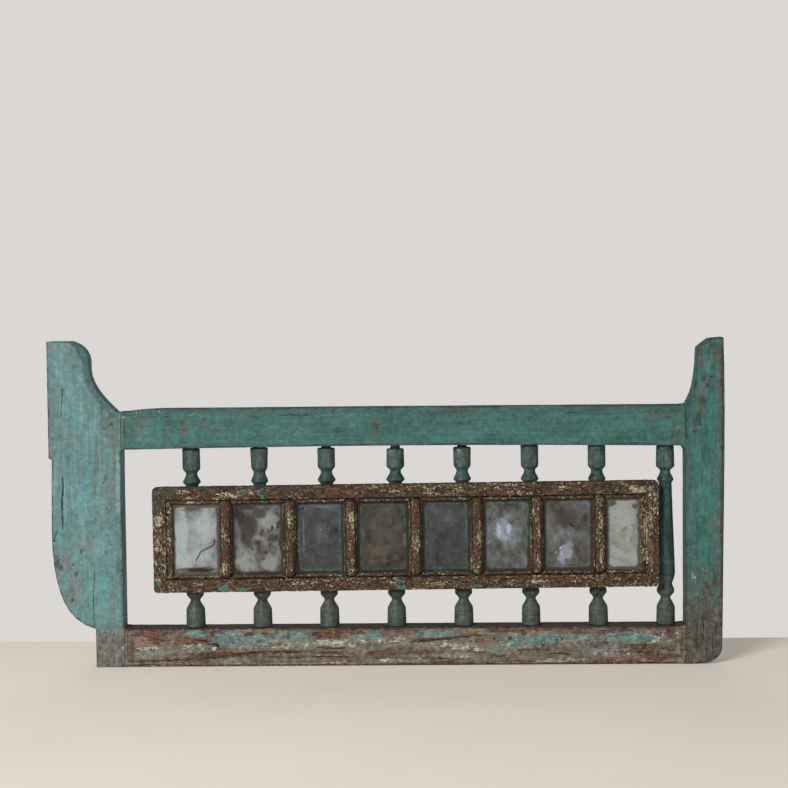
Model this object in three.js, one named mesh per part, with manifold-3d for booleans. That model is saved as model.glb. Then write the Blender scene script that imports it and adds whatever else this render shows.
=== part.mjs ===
// A wooden side panel from an old daybed or cart: two uneven posts, two rails, eight turned balusters,
// and a long mirror frame of eight small panes nailed across the balusters.
// Millimetres, +Z up, +X to the viewer's right, front towards -Y.
// Origin: on the floor, mid-width of the panel and mid-depth of the posts.
import * as THREE from 'three';
import { mergeVertices } from 'three/addons/utils/BufferGeometryUtils.js';
import Module from 'manifold-3d';

const wasm = await Module();
wasm.setup();

// Overall sizes
const panelWidth = 1503;
const panelHeight = 730;
const postDepth = 64;
const railSetback = 2;

// Left post: a wide board with a scrolled shoulder and a belly that curves in to a narrow foot
const leftPostWidth = 163;
const leftTopWidth = 51.5;
const leftFootWidth = 64;
const leftFootHeight = 86;
const shoulderCrown = 42;
const riserHeight = 22;
const notchHeight = 470;
const notchDepth = 7;
const bellyHeight = 310;
const bellyDepth = 4;
const leftBevel = 13;
const leftBevelDepth = 11;

// Right post: narrower, with a small shoulder and a worn outer foot
const rightPostWidth = 88;
const rightTopWidth = 35;
const rightNeckWidth = 61;
const rightPostDrop = 2;
const rightShoulderDrop = 23;
const rightTopChamfer = 3;
const sweepReach = 9;
const sweepHeight = 27;
const haunchWidth = 7;
const haunchHeight = 12;
const footTaper = 6;
const footWearWidth = 53;
const footWearHeight = 39;
const rightShoulderBevel = 4;
const rightArrisBevel = 8;
const rightBevelDepth = 6;

// Rails
const topRailTop = 579;
const topRailHeight = 92;
const topRailArch = 5;
const railEndDip = 7;
const railEndDipLength = 90;
const railBevelHeight = 18;
const railBevelDepth = 11;
const bottomRailHeight = 87;

// Joints
const tenonLength = 45;
const tenonHeight = 50;
const tenonThickness = 20;
const jointClearance = 0.3;

// Balusters: turned, each a little out of plumb to the left
const balusterLeans = [6, 4, 4.5, 0.5, 2, 2, 3, 1];
const topNecks = [0.5, 1.5, 4, 7, 4.5, 0.5, 0.5, 0.5];
const firstBalusterInset = 158;
const lastBalusterInset = 41;
const balusterSides = 16;
const pegLength = 20;
const topPegRadius = 10;
const bottomPegRadius = 12;
const baseRadius = 22.5;
const baseTopRadius = 21;
const baseHeight = 43;
const lowNeckRadius = 12;
const lowNeckHeight = 59;
const beadRadius = 20;
const beadHeight = 75;
const shaftFootRadius = 14.5;
const shaftFootHeight = 91;
const shaftLowRadius = 21.9;
const shaftLowHeight = 115;
const shaftTopRadius = 15;
const shaftTopDrop = 84;
const ringRadius = 21;
const ringDrop = 76.5;
const highNeckRadius = 13;
const highNeckDrop = 55;
const highNeckLength = 8;
const barrelRadius = 20;
const barrelDrop = 48;
const barrelChamfer = 1.5;

// Mirror frame
const mirrorFrameLeftInset = 69.5;
const mirrorFrameRightInset = 60.5;
const mirrorFrameHeight = 236;
const mirrorFrameRise = 86;
const mirrorFrameThickness = 28;
const outerChamfer = 1.5;
const mirrorFrameRoll = THREE.MathUtils.degToRad(0.4);
const cornerRadius = 9;
const bandWidth = 29;
const railBeadWidth = 10;
const leftBeadWidth = 15;
const rightBeadWidth = 12;
const grooveDrop = 7.5;
const grooveSlope = 1.5;
const beadCrown = 3;
const rebateWidth = 8;
const frameTenonLength = 16;
const frameTenonHeight = 18;
const frameTenonThickness = 4;

// Mullions, mirrors and backboard
const firstMullionInset = 161.8;
const lastMullionInset = 130.4;
const mullionDrifts = [0, 4, 1, 7, 5, -1, 0];
const mullionWidth = 32;
const mullionCrown = 15.5;
const mullionStem = 10;
const glassThickness = 3;
const boardThickness = 7.5;
const boardRecess = 3;
const paneClearance = 0.5;

// Nails through the frame into the balusters
const nailHeadRadius = 5.5;
const nailHeadHeight = 2.4;
const nailRadius = 1.8;
const nailBite = 10;
const nailSides = 10;

// Worked-out planes and edges
const leftEdge = -panelWidth / 2;
const rightEdge = panelWidth / 2;
const leftInner = leftEdge + leftPostWidth;
const rightInner = rightEdge - rightPostWidth;
const railDepth = postDepth - 2 * railSetback;
const topRailUnderside = topRailTop - topRailHeight;
const glassBack = boardRecess + boardThickness + jointClearance;
const rebateDepth = glassBack + glassThickness + jointClearance;

// Materials, with the colours of the aged wood, glass and iron
const tealPaint = new THREE.MeshStandardMaterial({ color: 0x4f7f78, roughness: 0.75, metalness: 0 });
const palePaint = new THREE.MeshStandardMaterial({ color: 0x6b9393, roughness: 0.75, metalness: 0 });
const wornWood = new THREE.MeshStandardMaterial({ color: 0x6e5146, roughness: 0.85, metalness: 0 });
const greyPaint = new THREE.MeshStandardMaterial({ color: 0x4b625d, roughness: 0.7, metalness: 0 });
const framePaint = new THREE.MeshStandardMaterial({ color: 0x63503d, roughness: 0.85, metalness: 0 });
const agedMirror = new THREE.MeshStandardMaterial({ color: 0x6f7a7c, roughness: 0.2, metalness: 0.7 });
const bareBoard = new THREE.MeshStandardMaterial({ color: 0x6a5a48, roughness: 0.9, metalness: 0 });
const iron = new THREE.MeshStandardMaterial({ color: 0x3f4a48, roughness: 0.6, metalness: 0.6 });

const panel = new THREE.Group();

function point(x, z) {
  return new THREE.Vector2(x, z);
}

function add(parent, name, geometry, material) {
  const mesh = new THREE.Mesh(geometry, material);
  mesh.name = name;
  parent.add(mesh);
  return mesh;
}

function solidOf(geometry) {
  const bare = geometry.clone();
  bare.deleteAttribute('normal');
  bare.deleteAttribute('uv');
  const merged = mergeVertices(bare, 1e-3);
  const mesh = new wasm.Mesh({
    numProp: 3,
    vertProperties: merged.attributes.position.array,
    triVerts: new Uint32Array(merged.index.array),
  });
  return new wasm.Manifold(mesh);
}

function geometryOf(solid) {
  const mesh = solid.getMesh();
  const geometry = new THREE.BufferGeometry();
  geometry.setAttribute('position', new THREE.BufferAttribute(mesh.vertProperties, 3));
  geometry.setIndex(new THREE.BufferAttribute(mesh.triVerts, 1));
  geometry.computeVertexNormals();
  return geometry;
}

function cutAll(geometry, cutters) {
  return geometryOf(cutters.reduce((solid, cutter) => solid.subtract(solidOf(cutter)), solidOf(geometry)));
}

function joinAll(geometries) {
  const [first, ...others] = geometries;
  return geometryOf(others.reduce((solid, other) => solid.add(solidOf(other)), solidOf(first)));
}

// A closed body through outlines in planes across Y, front first. Every outline has as many points,
// anticlockwise as the viewer in front sees it.
function slab(layers) {
  const count = layers[0].outline.length;
  const positions = layers.flatMap(({ y, outline }) => outline.flatMap((p) => [p.x, y, p.y]));
  const index = [];
  layers.slice(1).forEach((layer, k) => {
    for (let i = 0; i < count; i += 1) {
      const j = (i + 1) % count;
      const front = k * count;
      const back = front + count;
      index.push(front + i, back + i, back + j, front + i, back + j, front + j);
    }
  });
  const last = (layers.length - 1) * count;
  THREE.ShapeUtils.triangulateShape(layers[0].outline, []).forEach(([a, b, c]) => index.push(a, b, c));
  THREE.ShapeUtils.triangulateShape(layers[layers.length - 1].outline, []).forEach(([a, b, c]) => {
    index.push(last + a, last + c, last + b);
  });
  const geometry = new THREE.BufferGeometry();
  geometry.setAttribute('position', new THREE.Float32BufferAttribute(positions, 3));
  geometry.setIndex(index);
  geometry.computeVertexNormals();
  return geometry;
}

function block(width, depth, height, x, y, z) {
  return new THREE.BoxGeometry(width, depth, height).translate(x, y, z);
}

// A turned solid standing along +Z; the profile runs upwards and starts and ends on the axis.
function turned(profile, sides) {
  return new THREE.LatheGeometry(profile, sides).rotateX(Math.PI / 2);
}

function bezier(start, pullStart, pullEnd, end, steps) {
  return new THREE.CubicBezierCurve(start, pullStart, pullEnd, end).getPoints(steps);
}

// Moves an open run of outline points into the body, by a distance that may change along the run.
function inset(points, distanceAt) {
  return points.map((here, i) => {
    const before = points[Math.max(i - 1, 0)];
    const after = points[Math.min(i + 1, points.length - 1)];
    const run = after.clone().sub(before).normalize();
    return here.clone().addScaledVector(point(-run.y, run.x), distanceAt(i / (points.length - 1)));
  });
}

// Full bevel from the start of a run, fading to nothing at its end.
function fadingBevel(size, fadeStart) {
  return (t) => size * THREE.MathUtils.clamp((1 - t) / (1 - fadeStart), 0, 1);
}

function bevelledPost(fullOutline, bevelledOutline, bevelDepth) {
  const face = postDepth / 2;
  return slab([
    { y: -face, outline: bevelledOutline },
    { y: -face + bevelDepth, outline: fullOutline },
    { y: face - bevelDepth, outline: fullOutline },
    { y: face, outline: bevelledOutline },
  ]);
}

// The mortises that take the rails' tenons, cut back into a post from its inner edge.
function mortises(innerEdge, side) {
  const length = tenonLength + jointClearance;
  const x = innerEdge + (side * length) / 2;
  return [topTenonHeight(), bottomTenonHeight()].map((z) =>
    block(length + 2, tenonThickness + 2 * jointClearance, tenonHeight + 2 * jointClearance, x - side, 0, z),
  );
}

function topTenonHeight() {
  return topRailUnderside + (topRailHeight - railBevelHeight) / 2 + topRailArch / 2;
}

function bottomTenonHeight() {
  return bottomRailHeight / 2;
}

// Left post

function leftPost() {
  const footOuter = leftInner - leftFootWidth;
  const topInner = leftEdge + leftTopWidth;
  const railTop = topRailTop - railEndDip;
  const shoulderWidth = leftPostWidth - leftTopWidth;
  const crownBottom = panelHeight - shoulderCrown;
  const riserX = topInner + shoulderCrown;
  const riserBottom = crownBottom - riserHeight;
  const scroll = [
    point(leftInner, railTop - 1),
    ...bezier(
      point(leftInner - 0.08 * shoulderWidth, railTop - 0.5),
      point(leftInner - 0.34 * shoulderWidth, railTop + 0.3 * (riserBottom - railTop)),
      point(riserX + 2, railTop + 0.6 * (riserBottom - railTop)),
      point(riserX, riserBottom),
      7,
    ),
    ...bezier(
      point(riserX, crownBottom),
      point(riserX - 3, crownBottom + 0.55 * shoulderCrown),
      point(topInner + 0.5 * shoulderCrown, panelHeight - 0.1 * shoulderCrown),
      point(topInner, panelHeight),
      6,
    ),
  ];
  const belly = bezier(
    point(leftEdge + bellyDepth, bellyHeight),
    point(leftEdge + bellyDepth, bellyHeight - 0.54 * (bellyHeight - leftFootHeight)),
    point(leftEdge + 0.25 * (footOuter - leftEdge), leftFootHeight + 0.09 * (bellyHeight - leftFootHeight)),
    point(footOuter, leftFootHeight),
    9,
  );
  const outside = [
    point(leftEdge, panelHeight),
    point(leftEdge, notchHeight),
    point(leftEdge + notchDepth, notchHeight - notchDepth / 2),
    ...belly,
  ];
  const foot = [point(footOuter, 0), point(leftInner, 0)];
  const outline = [...foot, ...scroll, ...outside];
  const bevelled = [...foot, ...inset(scroll, fadingBevel(leftBevel, 0.75)), ...outside];
  return cutAll(bevelledPost(outline, bevelled, leftBevelDepth), mortises(leftInner, -1));
}

// Right post

function rightPost() {
  const top = panelHeight - rightPostDrop;
  const neckX = rightEdge - rightNeckWidth;
  const topInner = rightEdge - rightTopWidth;
  const crown = topInner - neckX;
  const neckZ = top - rightShoulderDrop;
  const shoulder = [
    point(topInner, top - rightTopChamfer),
    point(topInner - 0.5 * crown, top - rightTopChamfer - 0.42 * rightShoulderDrop),
    point(neckX, neckZ),
    ...bezier(
      point(neckX - 2, neckZ - 0.3 * (neckZ - topRailTop)),
      point(neckX - 6, neckZ - 0.62 * (neckZ - topRailTop)),
      point(neckX - sweepReach, topRailTop + sweepHeight),
      point(rightInner, topRailTop - 2),
      6,
    ),
  ];
  const haunchTop = topRailUnderside - jointClearance;
  const haunch = [
    point(rightInner, haunchTop),
    point(rightInner - haunchWidth, haunchTop),
    point(rightInner, haunchTop - haunchHeight),
  ];
  const footBottom = point(rightEdge - footTaper - footWearWidth, 0);
  const footSide = point(rightEdge - footTaper, footWearHeight);
  const wornCorner = bezier(
    footBottom,
    point(footBottom.x + 0.6 * footWearWidth, 0),
    point(footSide.x, 0.4 * footWearHeight),
    footSide,
    6,
  );
  const arris = [
    ...bezier(
      footSide,
      point(rightEdge - 0.35 * footTaper, top * 0.35),
      point(rightEdge, top * 0.6),
      point(rightEdge, top * 0.76),
      4,
    ).slice(1),
    point(rightEdge - 0.5, top * 0.92),
    point(rightEdge - rightTopChamfer, top),
  ];
  const foot = [point(rightInner, 0)];
  const outline = [...foot, ...wornCorner, ...arris, ...shoulder, ...haunch];
  const bevelled = [
    ...foot,
    ...wornCorner,
    ...inset(arris, fadingBevel(rightArrisBevel, 0.85)),
    ...inset(shoulder, () => rightShoulderBevel),
    ...haunch,
  ];
  return cutAll(bevelledPost(outline, bevelled, rightBevelDepth), mortises(rightInner, 1));
}

// Rails

const railStart = leftInner + jointClearance;
const railEnd = rightInner - jointClearance;
const railMiddle = (railStart + railEnd) / 2;
const railLength = railEnd - railStart;

function topRailUndersideAt(x) {
  const along = (x - railMiddle) / (railLength / 2);
  return topRailUnderside + topRailArch * (1 - along * along);
}

function tenon(x, z) {
  return block(tenonLength * 2, tenonThickness, tenonHeight, x, 0, z);
}

function topRail() {
  const underside = Array.from({ length: 9 }, (_, i) => {
    const x = railStart + (railLength * i) / 8;
    return point(x, topRailUndersideAt(x));
  });
  const dipEnd = railStart + railEndDipLength;
  const topEdge = [
    point(railEnd, topRailTop),
    point(dipEnd, topRailTop),
    point(dipEnd - railEndDipLength / 2, topRailTop - railEndDip / 3),
    point(railStart, topRailTop - railEndDip),
  ];
  const arris = topEdge.map((p) => point(p.x, topRailTop - railBevelHeight));
  const face = railDepth / 2;
  const body = slab([
    { y: -face, outline: [...underside, ...arris] },
    { y: -face + railBevelDepth, outline: [...underside, ...topEdge] },
    { y: face - railBevelDepth, outline: [...underside, ...topEdge] },
    { y: face, outline: [...underside, ...arris] },
  ]);
  const z = topTenonHeight();
  return cutAll(joinAll([body, tenon(railStart, z), tenon(railEnd, z)]), balusters.map(topSocket));
}

function bottomRail() {
  const body = block(railLength, railDepth, bottomRailHeight, railMiddle, 0, bottomRailHeight / 2);
  const z = bottomTenonHeight();
  return cutAll(joinAll([body, tenon(railStart, z), tenon(railEnd, z)]), balusters.map(bottomSocket));
}

// Balusters

const firstBaluster = leftInner + firstBalusterInset;
const lastBaluster = rightInner - lastBalusterInset;
const balusterPitch = (lastBaluster - firstBaluster) / (balusterLeans.length - 1);
const balusters = balusterLeans.map((lean, i) => {
  const foot = firstBaluster + i * balusterPitch;
  const rise = topRailUnderside - bottomRailHeight;
  return { foot, slope: -lean / rise, neck: topNecks[i], top: topRailUndersideAt(foot) - jointClearance };
});

// Shifts a solid that stands on the axis to its baluster's foot and shears it out of plumb.
function leaned(geometry, { foot, slope }) {
  const shear = new THREE.Matrix4().makeShear(0, 0, 0, 0, slope, 0);
  return geometry.translate(0, 0, -bottomRailHeight).applyMatrix4(shear).translate(foot, 0, bottomRailHeight);
}

function socket(radius, low, high) {
  const profile = [point(0, low), point(radius, low), point(radius, high), point(0, high)];
  return turned(profile, balusterSides);
}

function topSocket(baluster) {
  const low = baluster.top - topRailArch - 1;
  const high = baluster.top + pegLength + 2 * jointClearance;
  return leaned(socket(topPegRadius + jointClearance, low, high), baluster);
}

function bottomSocket(baluster) {
  const low = bottomRailHeight - pegLength - jointClearance;
  return leaned(socket(bottomPegRadius + jointClearance, low, bottomRailHeight + 1), baluster);
}

function balusterGeometry(baluster) {
  const foot = bottomRailHeight + jointClearance;
  const { top, neck } = baluster;
  const profile = [
    point(0, bottomRailHeight - pegLength),
    point(bottomPegRadius, bottomRailHeight - pegLength),
    point(bottomPegRadius, foot),
    point(baseRadius, foot),
    point(baseTopRadius, foot + baseHeight - 4),
    point(baseTopRadius - 1, foot + baseHeight),
    point(lowNeckRadius, foot + lowNeckHeight),
    point(beadRadius, foot + beadHeight - 4),
    point(beadRadius, foot + beadHeight + 2),
    point(shaftFootRadius, foot + shaftFootHeight),
    point(shaftLowRadius - 2, foot + shaftLowHeight - 12),
    point(shaftLowRadius, foot + shaftLowHeight),
    point(shaftTopRadius, top - shaftTopDrop),
    point(ringRadius, top - ringDrop - 0.5),
    point(ringRadius - 1, top - ringDrop + 2.5),
    point(highNeckRadius, top - highNeckDrop - highNeckLength),
    point(highNeckRadius, top - highNeckDrop),
    point(barrelRadius, top - barrelDrop),
    point(barrelRadius, top - neck - barrelChamfer),
    point(topPegRadius, top - neck),
    point(topPegRadius, top + pegLength),
    point(0, top + pegLength),
  ];
  return leaned(turned(profile, balusterSides), baluster);
}

// Mirror frame, in its own turned group: X along it, Z up it, Y = 0 on its back plane.
// It leans on the shafts' widest parts and on the rings above them.

const mirrorFrameWidth = rightInner - leftInner - mirrorFrameLeftInset - mirrorFrameRightInset;
const halfWidth = mirrorFrameWidth / 2;
const halfHeight = mirrorFrameHeight / 2;
const ringHeight = topRailUnderside - ringDrop - bottomRailHeight;
const mirrorFrameLean = Math.atan((shaftLowRadius - ringRadius) / (ringHeight - shaftLowHeight));
const aboveShaftLow = mirrorFrameRise + halfHeight - shaftLowHeight;
const mirrorFrame = new THREE.Group();
mirrorFrame.position.set(
  leftInner + mirrorFrameLeftInset + halfWidth,
  -(shaftLowRadius + 2 * jointClearance) + Math.tan(mirrorFrameLean) * aboveShaftLow,
  bottomRailHeight + mirrorFrameRise + halfHeight,
);
mirrorFrame.rotation.set(-mirrorFrameLean, -mirrorFrameRoll, 0);
mirrorFrame.updateMatrixWorld(true);
panel.add(mirrorFrame);

// The moulding's section: x is the distance in from the frame's outer edge, y the height off its back.
function mouldingSection(beadWidth) {
  const groove = mirrorFrameThickness - grooveDrop;
  const beadStart = bandWidth + grooveSlope;
  const sightEdge = bandWidth + beadWidth;
  const beadHalf = (sightEdge - beadStart) / 2;
  const bead = [150, 115, 80, 45, 10].map((degrees) => {
    const angle = THREE.MathUtils.degToRad(degrees);
    return point(beadStart + beadHalf * (1 + Math.cos(angle)), groove + beadCrown * Math.sin(angle));
  });
  return [
    point(0, 0),
    point(sightEdge - rebateWidth, 0),
    point(sightEdge - rebateWidth, rebateDepth),
    point(sightEdge, rebateDepth),
    point(sightEdge, groove),
    ...bead.reverse(),
    point(beadStart, groove),
    point(bandWidth, mirrorFrameThickness),
    point(outerChamfer, mirrorFrameThickness),
    point(0, mirrorFrameThickness - outerChamfer),
  ];
}

// A length of moulding with its outer edge along X at Z = 0, running from x = 0 to the length.
function moulding(beadWidth, length) {
  const shape = new THREE.Shape(mouldingSection(beadWidth));
  const run = new THREE.ExtrudeGeometry(shape, { depth: length, bevelEnabled: false });
  const turn = new THREE.Matrix4().makeBasis(
    new THREE.Vector3(0, 0, -1),
    new THREE.Vector3(0, -1, 0),
    new THREE.Vector3(-1, 0, 0),
  );
  return run.applyMatrix4(turn).translate(length, 0, 0);
}

// The upright outline of a plain rounded bar, for the frame's corners and the mullions' plans.
function roundedBar(halfX, halfZ, radius, steps) {
  const corners = [
    [halfX - radius, radius - halfZ, -90],
    [halfX - radius, halfZ - radius, 0],
    [radius - halfX, halfZ - radius, 90],
    [radius - halfX, radius - halfZ, 180],
  ];
  return corners.flatMap(([x, z, start]) =>
    Array.from({ length: steps + 1 }, (_, i) => {
      const angle = THREE.MathUtils.degToRad(start + (90 * i) / steps);
      return point(x + radius * Math.cos(angle), z + radius * Math.sin(angle));
    }),
  );
}

// Keeps what lies within an upright outline.
function trimmed(geometry, outline) {
  const envelope = slab([
    { y: -mirrorFrameThickness - 1, outline },
    { y: 1, outline },
  ]);
  return geometryOf(solidOf(geometry).intersect(solidOf(envelope)));
}

// The line of one corner's joint, from the frame's edge inwards: the rail's flat band butts against the
// stile's, and their beads are mitred. Side is -1 at the left, end -1 at the bottom.
function jointLine(side, end, shift) {
  const beadWidth = side < 0 ? leftBeadWidth : rightBeadWidth;
  return [
    point(bandWidth, -1),
    point(bandWidth, bandWidth),
    point(bandWidth + beadWidth, bandWidth + railBeadWidth),
  ].map((p) => point(side * (halfWidth - p.x - shift), end * (halfHeight - p.y)));
}

function railOutline(end) {
  const outline = [...jointLine(-1, end, jointClearance), ...jointLine(1, end, jointClearance).reverse()];
  return end < 0 ? outline.reverse() : outline;
}

function stileOutline(side) {
  const outerX = side * (halfWidth + 1);
  const outer = [point(outerX, halfHeight + 1), point(outerX, -halfHeight - 1)];
  const outline = [...jointLine(side, -1, 0), ...jointLine(side, 1, 0).reverse(), ...outer];
  return side > 0 ? outline.reverse() : outline;
}

const mullionPitch = (mirrorFrameWidth - firstMullionInset - lastMullionInset) / (mullionDrifts.length - 1);
const mullionXs = mullionDrifts.map((drift, i) => firstMullionInset + i * mullionPitch + drift - halfWidth);
const mullionHalfLength = halfHeight - bandWidth - jointClearance;

// The stadium-shaped seats in the rails' beads where the mullions' domed ends lie.
function mullionSeat(x) {
  const radius = mullionWidth / 2 + jointClearance;
  const outline = roundedBar(radius, mullionHalfLength + jointClearance, radius * 0.999, 4);
  const seat = outline.map((p) => point(p.x + x, p.y));
  return slab([
    { y: -mirrorFrameThickness - 1, outline: seat },
    { y: -rebateDepth + 1, outline: seat },
  ]);
}

// Blind mortises for the frame's rails, and the tenons that fill them, lie in front of the rebate.
function frameTenon(x, z, clearance) {
  const y = -rebateDepth - frameTenonThickness / 2 - 1;
  const grow = 2 * clearance;
  return block(2 * frameTenonLength + grow, frameTenonThickness + grow, frameTenonHeight + grow, x, y, z);
}

const stileBandInner = halfWidth - bandWidth;
const leftStileInner = -halfWidth + bandWidth + leftBeadWidth;
const rightStileInner = halfWidth - bandWidth - rightBeadWidth;
const frameTenonZ = halfHeight - bandWidth / 2 - 2;

function frameRail(side) {
  const run = moulding(railBeadWidth, 2 * stileBandInner).translate(-stileBandInner, 0, halfHeight);
  if (side < 0) {
    run.applyMatrix4(new THREE.Matrix4().makeRotationY(Math.PI));
  }
  const tenons = [-1, 1].map((end) => frameTenon(end * (stileBandInner - jointClearance), side * frameTenonZ, 0));
  const body = joinAll([trimmed(run, railOutline(side)), ...tenons]);
  const holes = nails.filter((nail) => nail.side === side).map(nailHole);
  return cutAll(body, [...mullionXs.map(mullionSeat), ...holes]);
}

function stile(side) {
  const beadWidth = side < 0 ? leftBeadWidth : rightBeadWidth;
  const quarter = new THREE.Matrix4().makeRotationY((side * Math.PI) / 2);
  const run = moulding(beadWidth, mirrorFrameHeight).translate(-halfHeight, 0, halfWidth).applyMatrix4(quarter);
  const rounded = trimmed(run, roundedBar(halfWidth, halfHeight, cornerRadius, 3));
  const x = side * (stileBandInner - jointClearance);
  const mortisesIn = [frameTenonZ, -frameTenonZ].map((z) => frameTenon(x, z, jointClearance));
  return cutAll(trimmed(rounded, stileOutline(side)), mortisesIn);
}

// A mullion: a half-round cap with domed ends, on a narrow stem that parts two mirrors.
function mullion() {
  const levels = [0, 24, 48, 70];
  const dome = levels.map((degrees) => {
    const angle = THREE.MathUtils.degToRad(degrees);
    const radius = (mullionWidth / 2) * Math.cos(angle);
    const halfLength = mullionHalfLength - mullionWidth / 2 + radius;
    const y = -rebateDepth - mullionCrown * Math.sin(angle);
    return { y, outline: roundedBar(radius, halfLength, radius * 0.999, 3) };
  });
  const cap = slab(dome.reverse());
  const stemHeight = mirrorFrameHeight - 2 * (bandWidth + railBeadWidth - rebateWidth + paneClearance);
  const stemDepth = glassThickness + jointClearance + 1;
  return joinAll([cap, block(mullionStem, stemDepth, stemHeight, 0, -glassBack - stemDepth / 2, 0)]);
}

function mirrors() {
  const height = mirrorFrameHeight - 2 * (bandWidth + railBeadWidth - rebateWidth + paneClearance);
  const stem = mullionStem / 2 + paneClearance;
  const first = leftStileInner - rebateWidth + paneClearance;
  const last = rightStileInner + rebateWidth - paneClearance;
  const starts = [first, ...mullionXs.map((x) => x + stem)];
  const ends = [...mullionXs.map((x) => x - stem), last];
  starts.forEach((start, i) => {
    const width = ends[i] - start;
    const pane = block(width, glassThickness, height, start + width / 2, -glassBack - glassThickness / 2, 0);
    add(mirrorFrame, `mirror_pane_${i + 1}`, pane, agedMirror);
  });
  const boardY = -boardRecess - boardThickness / 2;
  const board = block(last - first, boardThickness, height, (first + last) / 2, boardY, 0);
  add(mirrorFrame, 'mirror_backboard', board, bareBoard);
}

// Nails: a domed head on the frame's flat band, and a shank that runs on into the baluster behind

const nailBalusters = [
  { baluster: 1, side: 1, offset: 8 },
  { baluster: 6, side: 1, offset: 2 },
  { baluster: 3, side: -1, offset: 9 },
];
const nails = nailBalusters.map(({ baluster, side, offset }) => {
  const { foot, slope } = balusters[baluster];
  const z = side * (halfHeight - bandWidth / 2);
  const x = foot + slope * (mirrorFrame.position.z + z - bottomRailHeight) + offset - mirrorFrame.position.x;
  return { baluster, side, x, z };
});
const nailLength = mirrorFrameThickness + shaftLowRadius + nailBite - baseRadius / 2;

function nailShank(radius, low, high, { x, z }) {
  const profile = [point(0, low), point(radius, low), point(radius, high), point(0, high)];
  return turned(profile, nailSides).rotateX(Math.PI / 2).translate(x, -mirrorFrameThickness, z);
}

function nailHole(nail) {
  return nailShank(nailRadius + jointClearance, -nailLength - jointClearance, 1, nail);
}

function nail(place) {
  const low = jointClearance;
  const profile = [
    point(0, -nailLength),
    point(nailRadius, -nailLength),
    point(nailRadius, low),
    point(nailHeadRadius, low),
    point(nailHeadRadius * 0.85, low + nailHeadHeight * 0.6),
    point(nailHeadRadius * 0.4, low + nailHeadHeight),
    point(0, low + nailHeadHeight),
  ];
  const body = turned(profile, nailSides).rotateX(Math.PI / 2);
  return body.translate(place.x, -mirrorFrameThickness, place.z);
}

// The holes that the nails make in the balusters, in the panel's frame.
function nailHolesIn(index) {
  return nails.filter((place) => place.baluster === index)
    .map((place) => nailHole(place).applyMatrix4(mirrorFrame.matrixWorld));
}

// Assembly

add(panel, 'left_post', leftPost(), palePaint);
add(panel, 'right_post', rightPost(), tealPaint);
add(panel, 'top_rail', topRail(), tealPaint);
add(panel, 'bottom_rail', bottomRail(), wornWood);
balusters.forEach((baluster, i) => {
  add(panel, `baluster_${i + 1}`, cutAll(balusterGeometry(baluster), nailHolesIn(i)), greyPaint);
});
add(mirrorFrame, 'frame_top_rail', frameRail(1), framePaint);
add(mirrorFrame, 'frame_bottom_rail', frameRail(-1), framePaint);
add(mirrorFrame, 'frame_left_stile', stile(-1), framePaint);
add(mirrorFrame, 'frame_right_stile', stile(1), framePaint);
mullionXs.forEach((x, i) => {
  add(mirrorFrame, `frame_mullion_${i + 1}`, mullion(), framePaint).position.x = x;
});
mirrors();
nails.forEach((place, i) => {
  add(mirrorFrame, `frame_nail_${i + 1}`, nail(place), iron);
});

export default panel;
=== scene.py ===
"""A weathered wooden side panel with turned balusters and a long mirror frame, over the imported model.

Lengths are in millimetres until a mesh is written, which is in metres. X runs along the rails, Y towards
the back and Z up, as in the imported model. The places of single marks, such as cracks, chips and stains,
are given as columns and rows of the photograph, and a sight line through them says where they lie.
"""
import math

import bmesh
import bpy
import numpy as np
from mathutils import Matrix, Vector


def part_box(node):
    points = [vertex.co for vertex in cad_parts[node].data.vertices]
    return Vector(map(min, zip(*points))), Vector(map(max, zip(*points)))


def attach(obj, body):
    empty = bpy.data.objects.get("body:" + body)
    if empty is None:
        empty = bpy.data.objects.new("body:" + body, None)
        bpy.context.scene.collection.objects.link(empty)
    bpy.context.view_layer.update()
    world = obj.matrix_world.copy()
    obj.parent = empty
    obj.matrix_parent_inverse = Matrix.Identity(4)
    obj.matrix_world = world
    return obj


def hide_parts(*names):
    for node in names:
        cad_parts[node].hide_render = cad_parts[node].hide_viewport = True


MM = 0.001

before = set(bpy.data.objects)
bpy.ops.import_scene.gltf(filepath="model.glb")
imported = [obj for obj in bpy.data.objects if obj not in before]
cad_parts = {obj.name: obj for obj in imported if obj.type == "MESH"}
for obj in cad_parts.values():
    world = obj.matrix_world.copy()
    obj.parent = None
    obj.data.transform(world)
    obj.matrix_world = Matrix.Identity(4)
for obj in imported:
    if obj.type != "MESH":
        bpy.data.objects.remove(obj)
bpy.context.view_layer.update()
scene = bpy.context.scene


# Camera, light and floor

PHOTO_SIDE = 788
SENSOR_WIDTH = 36.0
LENS = 93.07
CAMERA_PLACE = (98.0, -4532.0, 881.5)
CAMERA_PAN = 1.0
CAMERA_PITCH = 3.48
CAMERA_ROLL = -0.53

# The size of one pixel of the photograph at the panel, and the depth at which each part's front lies.
PIXEL = 2.21
POST_FRONT = -32.0
RAIL_FRONT = -30.0
BALUSTER_FRONT = -20.0
MIRROR_FRONT = -36.0
MOULDING_FRONT = -50.0

# The lights, in metres: name, place, size, watts and colour.
LIGHTS = (
    ("key", (-2.9, -5.7, 3.3), (2.2, 2.2), 385, (0.98, 0.99, 1.0)),
    ("fill", (2.6, -3.2, 1.2), (2.0, 2.0), 8, (0.95, 0.98, 1.0)),
    ("back", (0.3, 4.4, 0.7), (2.6, 0.8), 95, (1.0, 0.99, 0.97)),
)
LIGHT_TARGET = (0, 0, 0.35)
BACKDROP_COLOUR = (219, 215, 212)
AMBIENT_COLOUR = (0.97, 0.98, 1.0, 1.0)
AMBIENT_STRENGTH = 0.19

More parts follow.
